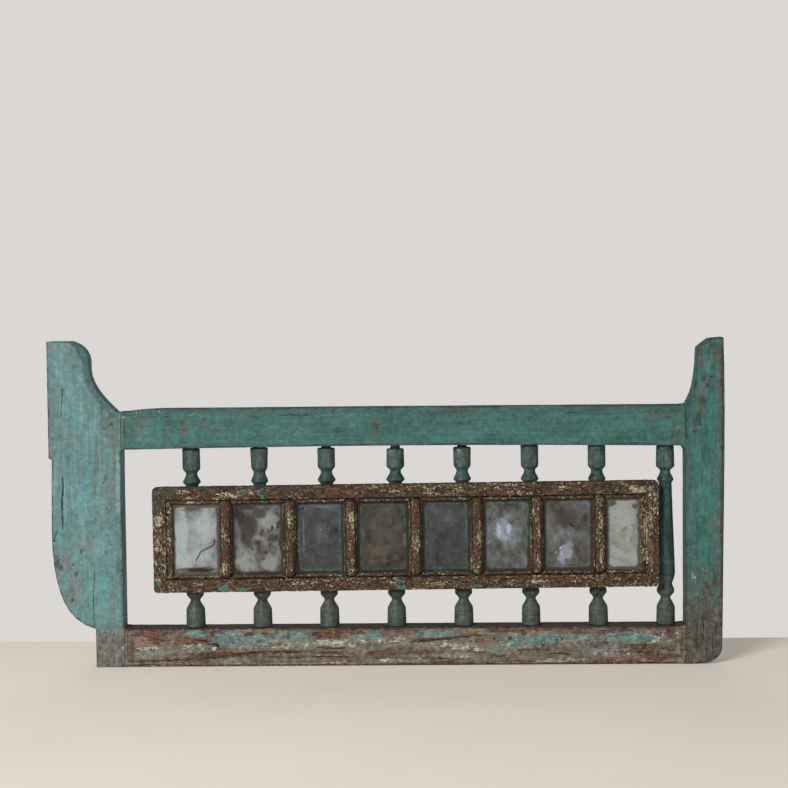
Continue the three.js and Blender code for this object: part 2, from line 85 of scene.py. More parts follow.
# The floor, in metres, and how far it glows so that it stays pale.
FLOOR_HALF_WIDTH = 3.2
FLOOR_FRONT = -1.6
FLOOR_BACK = 0.29
FLOOR_GLOW = 0.16
FLOOR_GLOW_COLOUR = (240, 228, 210)
FLOOR_TONES = [(240, 229, 213), (244, 234, 220)]


def camera_turn():
    pan = Matrix.Rotation(math.radians(CAMERA_PAN), 4, "Z")
    tilt = Matrix.Rotation(math.radians(90 - CAMERA_PITCH), 4, "X")
    return pan @ tilt @ Matrix.Rotation(math.radians(CAMERA_ROLL), 4, "Z")


def add_camera():
    """The photograph's viewpoint: 4.5 m in front, a little above the panel's top, looking slightly down."""
    data = bpy.data.cameras.new("camera")
    data.sensor_width = SENSOR_WIDTH
    data.lens = LENS
    camera = bpy.data.objects.new("camera", data)
    scene.collection.objects.link(camera)
    camera.matrix_world = Matrix.Translation([c * MM for c in CAMERA_PLACE]) @ camera_turn()
    scene.camera = camera


def seen(column, row, depth):
    """X and Z of what shows at a place in the photograph, for a thing at the given Y."""
    focal = LENS / SENSOR_WIDTH * PHOTO_SIDE
    middle = PHOTO_SIDE / 2
    ray = camera_turn() @ Vector(((column - middle) / focal, (middle - row) / focal, -1))
    reach = (depth - CAMERA_PLACE[1]) / ray.y
    return CAMERA_PLACE[0] + reach * ray.x, CAMERA_PLACE[2] + reach * ray.z


def add_lights():
    """Soft area lights. The one behind shows in no gloss, so it leaves no glare along the edges."""
    for name, place, size, watts, colour in LIGHTS:
        data = bpy.data.lights.new(name, "AREA")
        data.shape = "RECTANGLE"
        data.size, data.size_y = size
        data.energy = watts
        data.color = colour
        light = bpy.data.objects.new(name, data)
        scene.collection.objects.link(light)
        turn = (Vector(place) - Vector(LIGHT_TARGET)).to_track_quat("Z", "Y")
        light.matrix_world = Matrix.Translation(place) @ turn.to_matrix().to_4x4()
        light.visible_glossy = name != "back"


def add_world():
    """A pale backdrop for the camera, and a dimmer even light for the surfaces."""
    world = bpy.data.worlds.new("studio")
    scene.world = world
    world.use_nodes = True
    tree = world.node_tree
    tree.nodes.clear()
    out = tree.nodes.new("ShaderNodeOutputWorld")
    path = tree.nodes.new("ShaderNodeLightPath")
    mix = tree.nodes.new("ShaderNodeMixShader")
    tree.links.new(path.outputs["Is Camera Ray"], mix.inputs[0])
    shown = ((1, AMBIENT_COLOUR, AMBIENT_STRENGTH), (2, srgb(*BACKDROP_COLOUR), 1.0))
    for place, colour, strength in shown:
        background = tree.nodes.new("ShaderNodeBackground")
        background.inputs["Color"].default_value = colour
        background.inputs["Strength"].default_value = strength
        tree.links.new(background.outputs[0], mix.inputs[place])
    tree.links.new(mix.outputs[0], out.inputs["Surface"])


def srgb(red, green, blue):
    """A display colour, 0 to 255, as the linear colour that the shader takes."""
    def linear(value):
        value /= 255
        return value / 12.92 if value <= 0.04045 else ((value + 0.055) / 1.055) ** 2.4
    return (linear(red), linear(green), linear(blue), 1.0)


# Material nodes

# How much a mark adds to the texture of its layer, the range of noise that a ramp's colours cover, and how
# far a seed of one shifts a texture.
MARK_WEIGHT = 0.65
RAMP_START = 0.3
RAMP_SPAN = 0.4
PLACE_SHIFTS = (3.7, 7.3, 5.1)


class Nodes:
    """One material's nodes, made in short calls. Sizes are in millimetres, in object coordinates."""

    def __init__(self, name):
        self.material = bpy.data.materials.new(name)
        self.material.use_nodes = True
        self.tree = self.material.node_tree
        self.tree.nodes.clear()
        output = self.tree.nodes.new("ShaderNodeOutputMaterial")
        self.surface = self.tree.nodes.new("ShaderNodeBsdfPrincipled")
        self.tree.links.new(self.surface.outputs[0], output.inputs["Surface"])
        self.position = self.tree.nodes.new("ShaderNodeTexCoord").outputs["Object"]

    def give(self, socket, value):
        if isinstance(value, bpy.types.NodeSocket):
            self.tree.links.new(value, socket)
        else:
            socket.default_value = value

    def place(self, sizes, seed):
        """Object coordinates in units of the given sizes along X, Y and Z, shifted by the seed."""
        mapping = self.tree.nodes.new("ShaderNodeMapping")
        mapping.inputs["Scale"].default_value = [1 / (MM * size) for size in sizes]
        mapping.inputs["Location"].default_value = [seed * shift for shift in PLACE_SHIFTS]
        self.tree.links.new(self.position, mapping.inputs["Vector"])
        return mapping.outputs[0]

    def noise(self, sizes, seed, detail, rough=0.55, twist=0.0):
        """A noise whose lumps have the given sizes along X, Y and Z."""
        texture = self.tree.nodes.new("ShaderNodeTexNoise")
        texture.inputs["Scale"].default_value = 1.0
        texture.inputs["Detail"].default_value = detail
        texture.inputs["Roughness"].default_value = rough
        texture.inputs["Distortion"].default_value = twist
        self.tree.links.new(self.place(sizes, seed), texture.inputs["Vector"])
        return texture.outputs["Fac"]

    def mark(self, name):
        attribute = self.tree.nodes.new("ShaderNodeAttribute")
        attribute.attribute_name = name
        return attribute.outputs["Fac"]

    def weigh(self, start, *shares):
        """The start value plus each weight times its value."""
        total = start
        for weight, value in shares:
            node = self.tree.nodes.new("ShaderNodeMath")
            node.operation = "MULTIPLY_ADD"
            self.give(node.inputs[0], value)
            node.inputs[1].default_value = weight
            self.give(node.inputs[2], total)
            total = node.outputs[0]
        return total

    def step(self, value, low, high):
        """0 below low, 1 above high, smooth between."""
        node = self.tree.nodes.new("ShaderNodeMapRange")
        node.interpolation_type = "SMOOTHSTEP"
        self.give(node.inputs["Value"], value)
        node.inputs["From Min"].default_value = low
        node.inputs["From Max"].default_value = high
        return node.outputs["Result"]

    def cover(self, kind, texture, low, soft, opacity):
        """How far a layer covers: where its texture is high, and where its marks are."""
        amount = self.step(self.weigh(texture, (MARK_WEIGHT, self.mark(kind))), low, low + soft)
        return self.weigh(0.0, (opacity, amount))

    def ramp(self, value, *colours):
        """Runs evenly through the colours over the range that noise usually has."""
        node = self.tree.nodes.new("ShaderNodeValToRGB")
        band = node.color_ramp
        last = len(colours) - 1
        band.elements[0].position = RAMP_START
        band.elements[1].position = RAMP_START + RAMP_SPAN
        for i in range(1, last):
            band.elements.new(RAMP_START + RAMP_SPAN * i / last)
        for element, colour in zip(band.elements, colours):
            element.color = srgb(*colour)
        self.give(node.inputs[0], value)
        return node.outputs["Color"]

    def mix(self, amount, first, second):
        node = self.tree.nodes.new("ShaderNodeMix")
        node.data_type = "RGBA"
        self.give(node.inputs["Factor"], amount)
        for socket, value in (("A_Color", first), ("B_Color", second)):
            target = next(s for s in node.inputs if s.identifier == socket)
            self.give(target, value if isinstance(value, bpy.types.NodeSocket) else srgb(*value))
        return next(s for s in node.outputs if s.identifier == "Result_Color")

    def coat(self, under, amount, opacity, over):
        """The second colour over the first as far as the amount says, at the given opacity."""
        return self.mix(self.weigh(0.0, (opacity, amount)), under, over)

    def scaled(self, colour, factor):
        node = self.tree.nodes.new("ShaderNodeVectorMath")
        node.operation = "SCALE"
        self.give(node.inputs[0], colour)
        self.give(node.inputs["Scale"], factor)
        return node.outputs[0]

    def finish(self, colour, roughness, height, depth, **sockets):
        """Colour, roughness and a bump of the given depth in millimetres for a height from 0 to 1."""
        bump = self.tree.nodes.new("ShaderNodeBump")
        bump.inputs["Distance"].default_value = depth * MM
        self.give(bump.inputs["Height"], height)
        self.tree.links.new(bump.outputs[0], self.surface.inputs["Normal"])
        self.give(self.surface.inputs["Base Color"], colour)
        self.give(self.surface.inputs["Roughness"], roughness)
        for name, value in sockets.items():
            self.give(self.surface.inputs[name.replace("_", " ")], value)
        return self.material


def along(grain, length, width):
    """Sizes of a noise whose lumps are long with the grain and narrow across it."""
    return tuple(length if axis == grain else width for axis in "xyz")


# Meshes and wear

SHARP_CORNER = math.radians(50)
MOST_MARK = 1.5

# How far round a crack or hole the faces are split, and how far behind the front.
FINE_MARGIN = 2.5
FINE_DEPTH = 8

# A ragged patch: its limit, where it starts to fade and ends, in its own size, and the lumps of its edge.
PATCH_LIMIT = 1.7
PATCH_RAGGED = 0.45
PATCH_CORE = 0.45
PATCH_END = 1.2
LUMP_SHARE = 0.7
LUMP_LEAST = 4
LUMP_DEPTH = 40

# What scrambles the number of a lattice point, and how each octave of noise follows from the one before.
LATTICE_PRIMES = (73856093, 19349663, 83492791)
SEED_PRIME = 961748927
OCTAVE_PRIME = 7919
SCRAMBLES = ((13, 1274126177), (15, 668265263))
SCRAMBLE_MASK = 0x7FFFFFFF
SEED_SHIFT = 11.37
OCTAVE_SCALE = 2.03
OCTAVE_SHIFT = 5.7


def value_noise(points, sizes, seed, octaves=3):
    """Smooth noise from -1 to 1 at points in millimetres; sizes are its lumps along X, Y and Z."""
    q = points / np.asarray(sizes, float) + seed * SEED_SHIFT
    total = np.zeros(len(points))
    weight = 0.0
    for octave in range(octaves):
        cell = np.floor(q)
        part = q - cell
        part = part * part * (3 - 2 * part)
        cell = cell.astype(np.int64)
        value = np.zeros(len(points))
        for corner in range(8):
            step = np.array([corner & 1, corner >> 1 & 1, corner >> 2 & 1])
            i, j, k = ((cell + step) * LATTICE_PRIMES).T
            mixed = i ^ j ^ k ^ (seed * SEED_PRIME + octave * OCTAVE_PRIME)
            for shift, factor in SCRAMBLES:
                mixed = ((mixed ^ (mixed >> shift)) * factor) & SCRAMBLE_MASK
            share = np.prod(np.where(step == 1, part, 1 - part), axis=1)
            value += share * ((mixed >> 8) & 0xFFFF) / 65535
        amount = 0.5 ** octave
        total += amount * (2 * value - 1)
        weight += amount
        q = q * OCTAVE_SCALE + OCTAVE_SHIFT
    return total / weight


def smooth_step(value, low, high):
    t = np.clip((value - low) / (high - low), 0, 1)
    return t * t * (3 - 2 * t)


def path_distance(x, z, path):
    """Distance from each point to a run of straight lines, and how far along the run it is, 0 to 1."""
    nodes = np.asarray(path, float)
    lengths = np.hypot(*np.diff(nodes, axis=0).T)
    starts = np.concatenate([[0], np.cumsum(lengths)])
    best = np.full(len(x), np.inf)
    place = np.zeros(len(x))
    for (ax, az), (bx, bz), length, start in zip(nodes, nodes[1:], lengths, starts):
        t = ((x - ax) * (bx - ax) + (z - az) * (bz - az)) / max(length, 1e-6) ** 2
        t = np.clip(t, 0, 1)
        d = np.hypot(x - ax - t * (bx - ax), z - az - t * (bz - az))
        nearer = d < best
        best[nearer] = d[nearer]
        place[nearer] = (start + t * length)[nearer] / starts[-1]
    return best, place


def coordinates(mesh):
    """The mesh's points in metres, one in each row."""
    points = np.zeros(len(mesh.vertices) * 3)
    mesh.vertices.foreach_get("co", points)
    return points.reshape(-1, 3)


def refined(mesh, depth, cracks, holes):
    """Splits the faces finer on the front where cracks and holes come."""
    points = coordinates(mesh) / MM
    close = np.zeros(len(points), bool)
    for width, _, path in cracks:
        line = [seen(*place, depth) for place in path]
        distance, _ = path_distance(points[:, 0], points[:, 2], line)
        close |= distance < width / 2 + FINE_MARGIN
    for column, row, radius, _ in holes:
        x, z = seen(column, row, depth)
        close |= np.hypot(points[:, 0] - x, points[:, 2] - z) < radius + FINE_MARGIN
    close &= points[:, 1] < depth + FINE_DEPTH
    work = bmesh.new()
    work.from_mesh(mesh)
    edges = [edge for edge in work.edges if close[edge.verts[0].index] and close[edge.verts[1].index]]
    bmesh.ops.subdivide_edges(work, edges=edges, cuts=1, use_grid_fill=True)
    work.to_mesh(mesh)
    work.free()


class Relief:
    """A mesh as arrays while wear is worked into it. Every push goes inwards, so the piece never grows."""

    KINDS = ("pale", "bright", "mauve", "stain", "wood", "cream_and_reflection", "grime_and_shade", "edge", "pit_and_shade")

    def __init__(self, mesh, seed, depth):
        self.mesh = mesh
        self.seed = seed
        self.depth = depth
        self.marks = {kind: np.zeros(len(mesh.vertices)) for kind in self.KINDS}
        self.co = coordinates(mesh) / MM
        self.rest = self.co.copy()
        edges = np.zeros(len(mesh.edges) * 2, int)
        mesh.edges.foreach_get("vertices", edges)
        self.edges = edges.reshape(-1, 2)
        self.count = np.maximum(np.bincount(edges, minlength=len(self.co)), 1)
        self.refresh()
        self.facing = smooth_step(-self.normal[:, 1], 0.1, 0.5)

    def refresh(self):
        self.mesh.vertices.foreach_set("co", (self.co * MM).ravel())
        self.mesh.update()
        normal = np.zeros(len(self.co) * 3)
        self.mesh.vertex_normals.foreach_get("vector", normal)
        self.normal = normal.reshape(-1, 3)

    def around(self, values):
        """The mean of each point's neighbours."""
        a, b = self.edges.T
        size = len(values)
        if values.ndim == 1:
            return (np.bincount(a, values[b], size) + np.bincount(b, values[a], size)) / self.count
        return np.stack([self.around(column) for column in values.T], axis=1)

    def noise(self, sizes, shift, octaves=3):
        return value_noise(self.rest, sizes, self.seed + shift, octaves)

    def ragged(self, sizes, shift):
        """Noise from 0 to 1, for wear that comes and goes."""
        return 0.5 + 0.5 * self.noise(sizes, shift)

    def soften(self, amount):
        """Moves each point a share of the way to the middle of its neighbours."""
        self.co += amount * (self.around(self.co) - self.co)
        self.refresh()

    def arris(self, rounds):
        """How sharply the mesh turns outwards at each point, spread over its neighbourhood."""
        turn = np.sum((self.co - self.around(self.co)) * self.normal, axis=1)
        for _ in range(rounds):
            turn = self.around(turn)
        return turn

    def push(self, depth):
        self.co -= self.normal * depth[:, None]

    def waver(self, depth, sizes, shift, octaves=3):
        """Lets the surface rise and fall, by the given depth either way, always inside where it was."""
        self.push(depth * (1 + self.noise(sizes, shift, octaves)))

    def add(self, kind, amount):
        self.marks[kind] = np.maximum(self.marks[kind], amount)

    def patches(self, kind, places):
        """Ragged patches on the front: column, row, half width, half height, and perhaps a strength."""
        for column, row, half_width, half_height, *own in places:
            x, z = seen(column, row, self.depth)
            half_x = half_width * PIXEL
            half_z = half_height * PIXEL
            u = (self.rest[:, 0] - x) / half_x
            v = (self.rest[:, 2] - z) / half_z
            inside = (np.abs(u) < PATCH_LIMIT) & (np.abs(v) < PATCH_LIMIT)
            close = np.flatnonzero(inside & (self.facing > 0))
            lumps = (max(half_x * LUMP_SHARE, LUMP_LEAST), LUMP_DEPTH, max(half_z * LUMP_SHARE, LUMP_LEAST))
            edge = PATCH_RAGGED * value_noise(self.rest[close], lumps, self.seed + int(column))
            reach = np.hypot(u[close], v[close]) + edge
            amount = (own[0] if own else 1.0) * (1 - smooth_step(reach, PATCH_CORE, PATCH_END))
            amount *= self.facing[close]
            self.marks[kind][close] = np.maximum(self.marks[kind][close], amount)

    def crack(self, width, depth, path):
        """A split that narrows towards both ends."""
        line = [seen(*place, self.depth) for place in path]
        across = self.rest[:, 0] + 2.2 * self.noise((16, 16, 16), 47, 3)
        upward = self.rest[:, 2] + 2.2 * self.noise((16, 16, 16), 53, 3)
        distance, place = path_distance(across, upward, line)
        half = width / 2 * np.sqrt(np.sin(np.pi * np.clip(place, 0.03, 0.97)))
        half = half * np.clip(0.75 + 1.1 * self.noise((9, 9, 9), 61, 3), 0.1, 1.3)
        cut = (1 - smooth_step(distance, 0.2 * half, half + 0.7)) * self.facing
        self.push(cut * depth)
        self.add("pit_and_shade", cut * (0.65 + 0.5 * self.noise((10, 10, 10), 59, 2)))
        self.add("grime_and_shade", 0.7 * (1 - smooth_step(distance, half, half + 2.5)) * self.facing)

    def hole(self, column, row, radius, depth):
        x, z = seen(column, row, self.depth)
        distance = np.hypot(self.rest[:, 0] - x, self.rest[:, 2] - z)
        cut = (1 - smooth_step(distance, 0.4 * radius, radius + 0.4)) * self.facing
        self.push(cut * depth)
        self.add("pit_and_shade", cut)

    def dress(self, marks):
        """Works in what one piece's table of marks says."""
        for kind, places in marks.items():
            if kind in self.KINDS:
                self.patches(kind, places)
        for width, depth, path in marks.get("cracks", ()):
            self.crack(width, depth, path)
        for place in marks.get("holes", ()):
            self.hole(*place)

    def write(self, name, slot, material, node):
        """Puts the finished mesh in the scene in place of the named node, inside that node's box."""
        low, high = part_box(node)
        self.co = np.clip(self.co, np.array(low) / MM, np.array(high) / MM)
        self.refresh()
        for kind, values in self.marks.items():
            if values.any():
                attribute = self.mesh.attributes.new(kind, "FLOAT", "POINT")
                attribute.data.foreach_set("value", np.clip(values, 0, MOST_MARK).astype(np.float32))
        self.mesh.polygons.foreach_set("use_smooth", np.ones(len(self.mesh.polygons), bool))
        self.mesh.set_sharp_from_angle(angle=SHARP_CORNER)
        self.mesh.materials.clear()
        self.mesh.materials.append(material)
        obj = bpy.data.objects.new(name, self.mesh)
        scene.collection.objects.link(obj)
        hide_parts(node)
        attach(obj, "root")


def remeshed(node, cell):
    """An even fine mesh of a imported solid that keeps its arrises."""
    low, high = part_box(node)
    longest = max(high - low) / MM
    depth = math.ceil(math.log2(longest / (0.98 * cell)))
    copy = bpy.data.objects.new(node + "_fine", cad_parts[node].data.copy())
    scene.collection.objects.link(copy)
    modifier = copy.modifiers.new("fine", "REMESH")
    modifier.mode = "SHARP"
    modifier.octree_depth = depth
    modifier.scale = longest / (cell * 2 ** depth)
    modifier.use_remove_disconnected = False
    graph = bpy.context.evaluated_depsgraph_get()
    mesh = bpy.data.meshes.new_from_object(copy.evaluated_get(graph))
    bpy.data.objects.remove(copy)
    mesh.name = node + "_fine"
    return mesh


def lathe_mesh(name, heights, radii, sides, shift):
    """A turned surface about the Z axis, each ring shifted along X by its own amount."""
    turn = np.linspace(0, 2 * np.pi, sides, endpoint=False)
    x = radii[:, None] * np.cos(turn) + shift[:, None]
    y = radii[:, None] * np.sin(turn)
    z = np.repeat(heights[:, None], sides, axis=1)
    points = np.stack([x, y, z], axis=2).reshape(-1, 3) * MM
    faces = []
    for ring in range(len(heights) - 1):
        low = ring * sides
        for k in range(sides):
            j = (k + 1) % sides
            faces.append((low + k, low + j, low + sides + j, low + sides + k))
    faces.append(tuple(range(sides))[::-1])
    top = (len(heights) - 1) * sides
    faces.append(tuple(range(top, top + sides)))
    mesh = bpy.data.meshes.new(name)
    mesh.from_pydata(points.tolist(), [], faces)
    mesh.update()
    return mesh


# Wood, paint and glass

# Each layer of old paint: the length and width of its texture, its softness at the edge and its opacity.
LAYERS = {
    "pale": (70, 16, 0.16, 0.75),
    "bright": (40, 12, 0.14, 0.85),
    "mauve": (34, 14, 0.18, 0.7),
    "stain": (40, 12, 0.18, 0.7),
    "wood": (26, 7, 0.07, 0.95),
    "cream_and_reflection": (12, 5, 0.06, 0.95),
    "grime_and_shade": (22, 7, 0.2, 0.85),
}


def painted_wood(
    name, grain, paints, layers,
    streaks=0.5, speckle=1.0, soft=1.0, flakes=0.6, depth=0.7, roughness=0.6,
):
    """Old paint, streaked with the grain, with the named layers flaking over it, specks and dark pits."""
    n = Nodes(name)
    streak = n.noise(along(grain, 160, 5), 1, 5, 0.66)
    cloud = n.noise(along(grain, 110, 40), 2, 6, 0.62)
    fine = n.noise(along(grain, 20, 3.2), 3, 4, 0.62)
    speck = n.noise((4, 4, 4), 4, 3, 0.65)
    grit = n.noise((11, 11, 11), 5, 5, 0.7)
    flake = n.noise(along(grain, 6, 4), 6, 5, 0.72, 0.7)
    tone = n.weigh(0.5 - 0.5 * (streaks + 1.3), (streaks, streak), (0.7, cloud), (0.6, grit))
    colour = n.ramp(tone, *paints)
    covers = {}
    for seed, (kind, (length, width, blur, opacity)) in enumerate(LAYERS.items()):
        if kind in layers:
            low, *colours = layers[kind]
            texture = n.noise(along(grain, length, width), 11 + seed, 4, 0.62)
            texture = n.weigh(0.05 - 0.5 * flakes, (0.9, texture), (flakes, flake))
            covers[kind] = n.cover(kind, texture, low, blur * soft, opacity / soft ** 0.3)
            tone = n.weigh(-0.25, (0.7, fine), (0.8, grit))
            colour = n.mix(covers[kind], colour, n.ramp(tone, *colours))
    specks = ((0.8 * speckle, speck), (0.5 * speckle, fine), (0.9 * speckle, grit))
    colour = n.scaled(colour, n.weigh(1 - 1.1 * speckle, *specks))
    pit_and_shade = n.step(n.weigh(-0.35, (1.0, n.mark("pit_and_shade")), (0.7, flake)), 0.15, 0.75)
    colour = n.coat(colour, pit_and_shade, 0.9, [0.5 * channel for channel in paints[0]])
    height = n.weigh(0.3, (-0.7, covers.get("wood", 0.0)), (0.4, covers.get("cream_and_reflection", 0.0)))
    height = n.weigh(height, (0.4, fine), (0.5, grit), (0.3, speck))
    rough = n.weigh(roughness - 0.1, (0.2, grit), (0.15, covers.get("wood", 0.0)))
    return n.finish(colour, rough, height, depth, Specular_IOR_Level=0.35)


FRAME_BROWNS = [(30, 21, 14), (58, 42, 28), (80, 60, 42), (100, 77, 55), (126, 102, 77)]
FRAME_CREAMS = [(112, 97, 71), (152, 138, 109), (186, 174, 145), (222, 213, 188)]
FRAME_GREYS = [(40, 38, 35), (70, 67, 62), (108, 104, 98)]
FRAME_TEALS = [(46, 84, 78), (64, 114, 106), (104, 154, 147)]
FRAME_RED = (98, 57, 38)
FRAME_OCHRE = (136, 98, 56)
FLAKE_SHADOW = (32, 23, 15)
FRAME_HOLLOW = (24, 17, 12)
FRAME_PIT_AND_SHADE = (22, 16, 11)


def flaked_frame(name, grain, cream_low, red_low=0.56, greys=0.0):
    """Brown moulding with cream flakes, dark pits, painted shade in its hollows and remains of teal."""
    n = Nodes(name)
    base = n.noise(along(grain, 16, 5), 11, 5, 0.7)
    flake = n.noise(along(grain, 7, 3.4), 13, 5, 0.72, 0.4)
    patch = n.noise(along(grain, 46, 20), 14, 3)
    hollow = n.noise((4.6, 4, 4.6), 16, 4, 0.68)
    colour = n.ramp(base, *FRAME_BROWNS)
    red = n.step(n.noise(along(grain, 30, 12), 12, 4), red_low, red_low + 0.1)
    colour = n.coat(colour, red, 0.65, FRAME_RED)
    level = n.weigh(0.0, (0.5, patch), (1.0, flake), (0.14, n.mark("cream_and_reflection")), (-0.2, n.mark("grime_and_shade")))
    colour = n.coat(colour, n.step(level, cream_low - 0.05, cream_low - 0.01), 0.55, FLAKE_SHADOW)
    cream_and_reflection = n.step(level, cream_low, cream_low + 0.035)
    colour = n.coat(colour, cream_and_reflection, 0.94, n.ramp(n.noise((5, 5, 5), 15, 4, 0.68), *FRAME_CREAMS))
    grey = n.step(n.weigh(greys, (0.7, n.mark("grime_and_shade")), (0.6, patch), (0.3, flake)), 0.55, 0.95)
    colour = n.coat(colour, grey, 0.75, n.ramp(flake, *FRAME_GREYS))
    deep = n.step(hollow, 0.53, 0.58)
    colour = n.coat(colour, deep, 0.82, FRAME_HOLLOW)
    teal = n.step(n.weigh(0.0, (0.6, n.mark("bright")), (1.0, flake)), 0.86, 0.96)
    colour = n.coat(colour, teal, 0.9, n.ramp(hollow, *FRAME_TEALS))
    ochre = n.step(n.weigh(0.0, (0.8, n.mark("stain")), (0.8, base)), 0.85, 1.1)
    colour = n.coat(colour, ochre, 0.6, FRAME_OCHRE)
    colour = n.scaled(colour, n.weigh(-0.2, (1.3, hollow), (1.3, flake)))
    # Dark pits, and painted shade where the moulding turns inwards.
    pit_and_shade = n.step(n.weigh(-0.3, (1.0, n.mark("pit_and_shade")), (0.7, flake)), 0.2, 0.8)
    colour = n.mix(pit_and_shade, colour, FRAME_PIT_AND_SHADE)
    height = n.weigh(0.3, (0.6, cream_and_reflection), (-0.6, deep), (0.5, base))
    return n.finish(colour, 0.66, height, 1.1, Specular_IOR_Level=0.3)


MIRROR_REFLECTION = (204, 212, 238)
MIRROR_PIT = (26, 27, 26)
MIRROR_CLOUDS = {"mauve": (70, 60, 64), "stain": (100, 88, 70)}

# What lies over the silvering: its colour, where its amount starts from, the shares of its mark and of
# the haze in that amount, the amounts at which it begins and is whole, and its opacity. The first darkens
# each pane towards its rim, in that pane's own colour.
MIRROR_LINES = {
    "grime_and_shade": (None, -0.6, 1.15, 1.2, 0.1, 0.75, 0.9),
    "bright": ((88, 116, 112), -0.7, 1.1, 1.4, 0.25, 0.8, 0.7),
    "edge": ((56, 116, 104), -0.7, 1.1, 1.4, 0.2, 0.7, 0.8),
    "wood": ((60, 38, 37), -0.5, 1.0, 1.0, 0.2, 0.9, 1.0),
}


def aged_mirror(name, tones, seed, gloom):
    """Clouded silvering behind dull glass, dark round the rim, with painted reflections of light on some
    panes.
    """
    n = Nodes(name)
    cloud = n.noise((52, 52, 60), seed, 5, 0.6, 0.6)
    haze = n.noise((12, 12, 18), seed + 1, 5, 0.66)
    speck = n.noise((3.4, 3.4, 3.4), seed + 2, 4, 0.68)
    colour = n.ramp(n.weigh(-0.2, (1.0, cloud), (0.4, haze)), *tones)
    for kind, shade in {"pale": tones[-1], **MIRROR_CLOUDS}.items():
        cover = n.step(n.weigh(-0.8, (1.0, n.mark(kind)), (1.0, haze), (0.7, speck)), 0.05, 0.95)
        colour = n.coat(colour, cover, 0.85, shade)
    # Painted reflection: soft bluish-white patches of light where the marks put them.
    glow = n.step(n.weigh(-0.2, (1.0, n.mark("cream_and_reflection")), (0.4, haze)), 0.15, 1.2)
    colour = n.mix(glow, colour, MIRROR_REFLECTION)
    for kind, (shade, start, own, hazy, low, high, opacity) in MIRROR_LINES.items():
        line = n.step(n.weigh(start, (own, n.mark(kind)), (hazy, haze)), low, high)
        colour = n.coat(colour, line, opacity, shade or gloom)
    colour = n.scaled(colour, n.weigh(0.38, (0.6, speck), (0.4, haze)))
    colour = n.mix(n.step(n.mark("pit_and_shade"), 0.2, 0.7), colour, MIRROR_PIT)
    rough = n.weigh(0.2, (0.3, haze))
    return n.finish(colour, rough, haze, 0.12, Specular_IOR_Level=0.25)


def floor_material():
    n = Nodes("floor")
    tone = n.ramp(n.noise((400, 400, 400), 40, 3), *FLOOR_TONES)
    glow = {"Emission_Color": srgb(*FLOOR_GLOW_COLOUR), "Emission_Strength": FLOOR_GLOW}
    return n.finish(tone, 0.85, n.noise((4, 4, 4), 41, 2), 0.05, **glow)


def add_floor():
    """Pale, ending a short way behind the panel as the photograph's floor does."""
    mesh = bpy.data.meshes.new("floor")
    corners = [
        (-FLOOR_HALF_WIDTH, FLOOR_FRONT, 0), (FLOOR_HALF_WIDTH, FLOOR_FRONT, 0),
        (FLOOR_HALF_WIDTH, FLOOR_BACK, 0), (-FLOOR_HALF_WIDTH, FLOOR_BACK, 0),
    ]
    mesh.from_pydata(corners, [], [(0, 1, 2, 3)])
    floor = bpy.data.objects.new("floor", mesh)
    mesh.materials.append(floor_material())
    scene.collection.objects.link(floor)


# What is on each piece, as places in the photograph: column, row, half width and half height of a patch, and
# perhaps its strength; width, depth and path of a crack; and column, row, radius and depth of a hole.

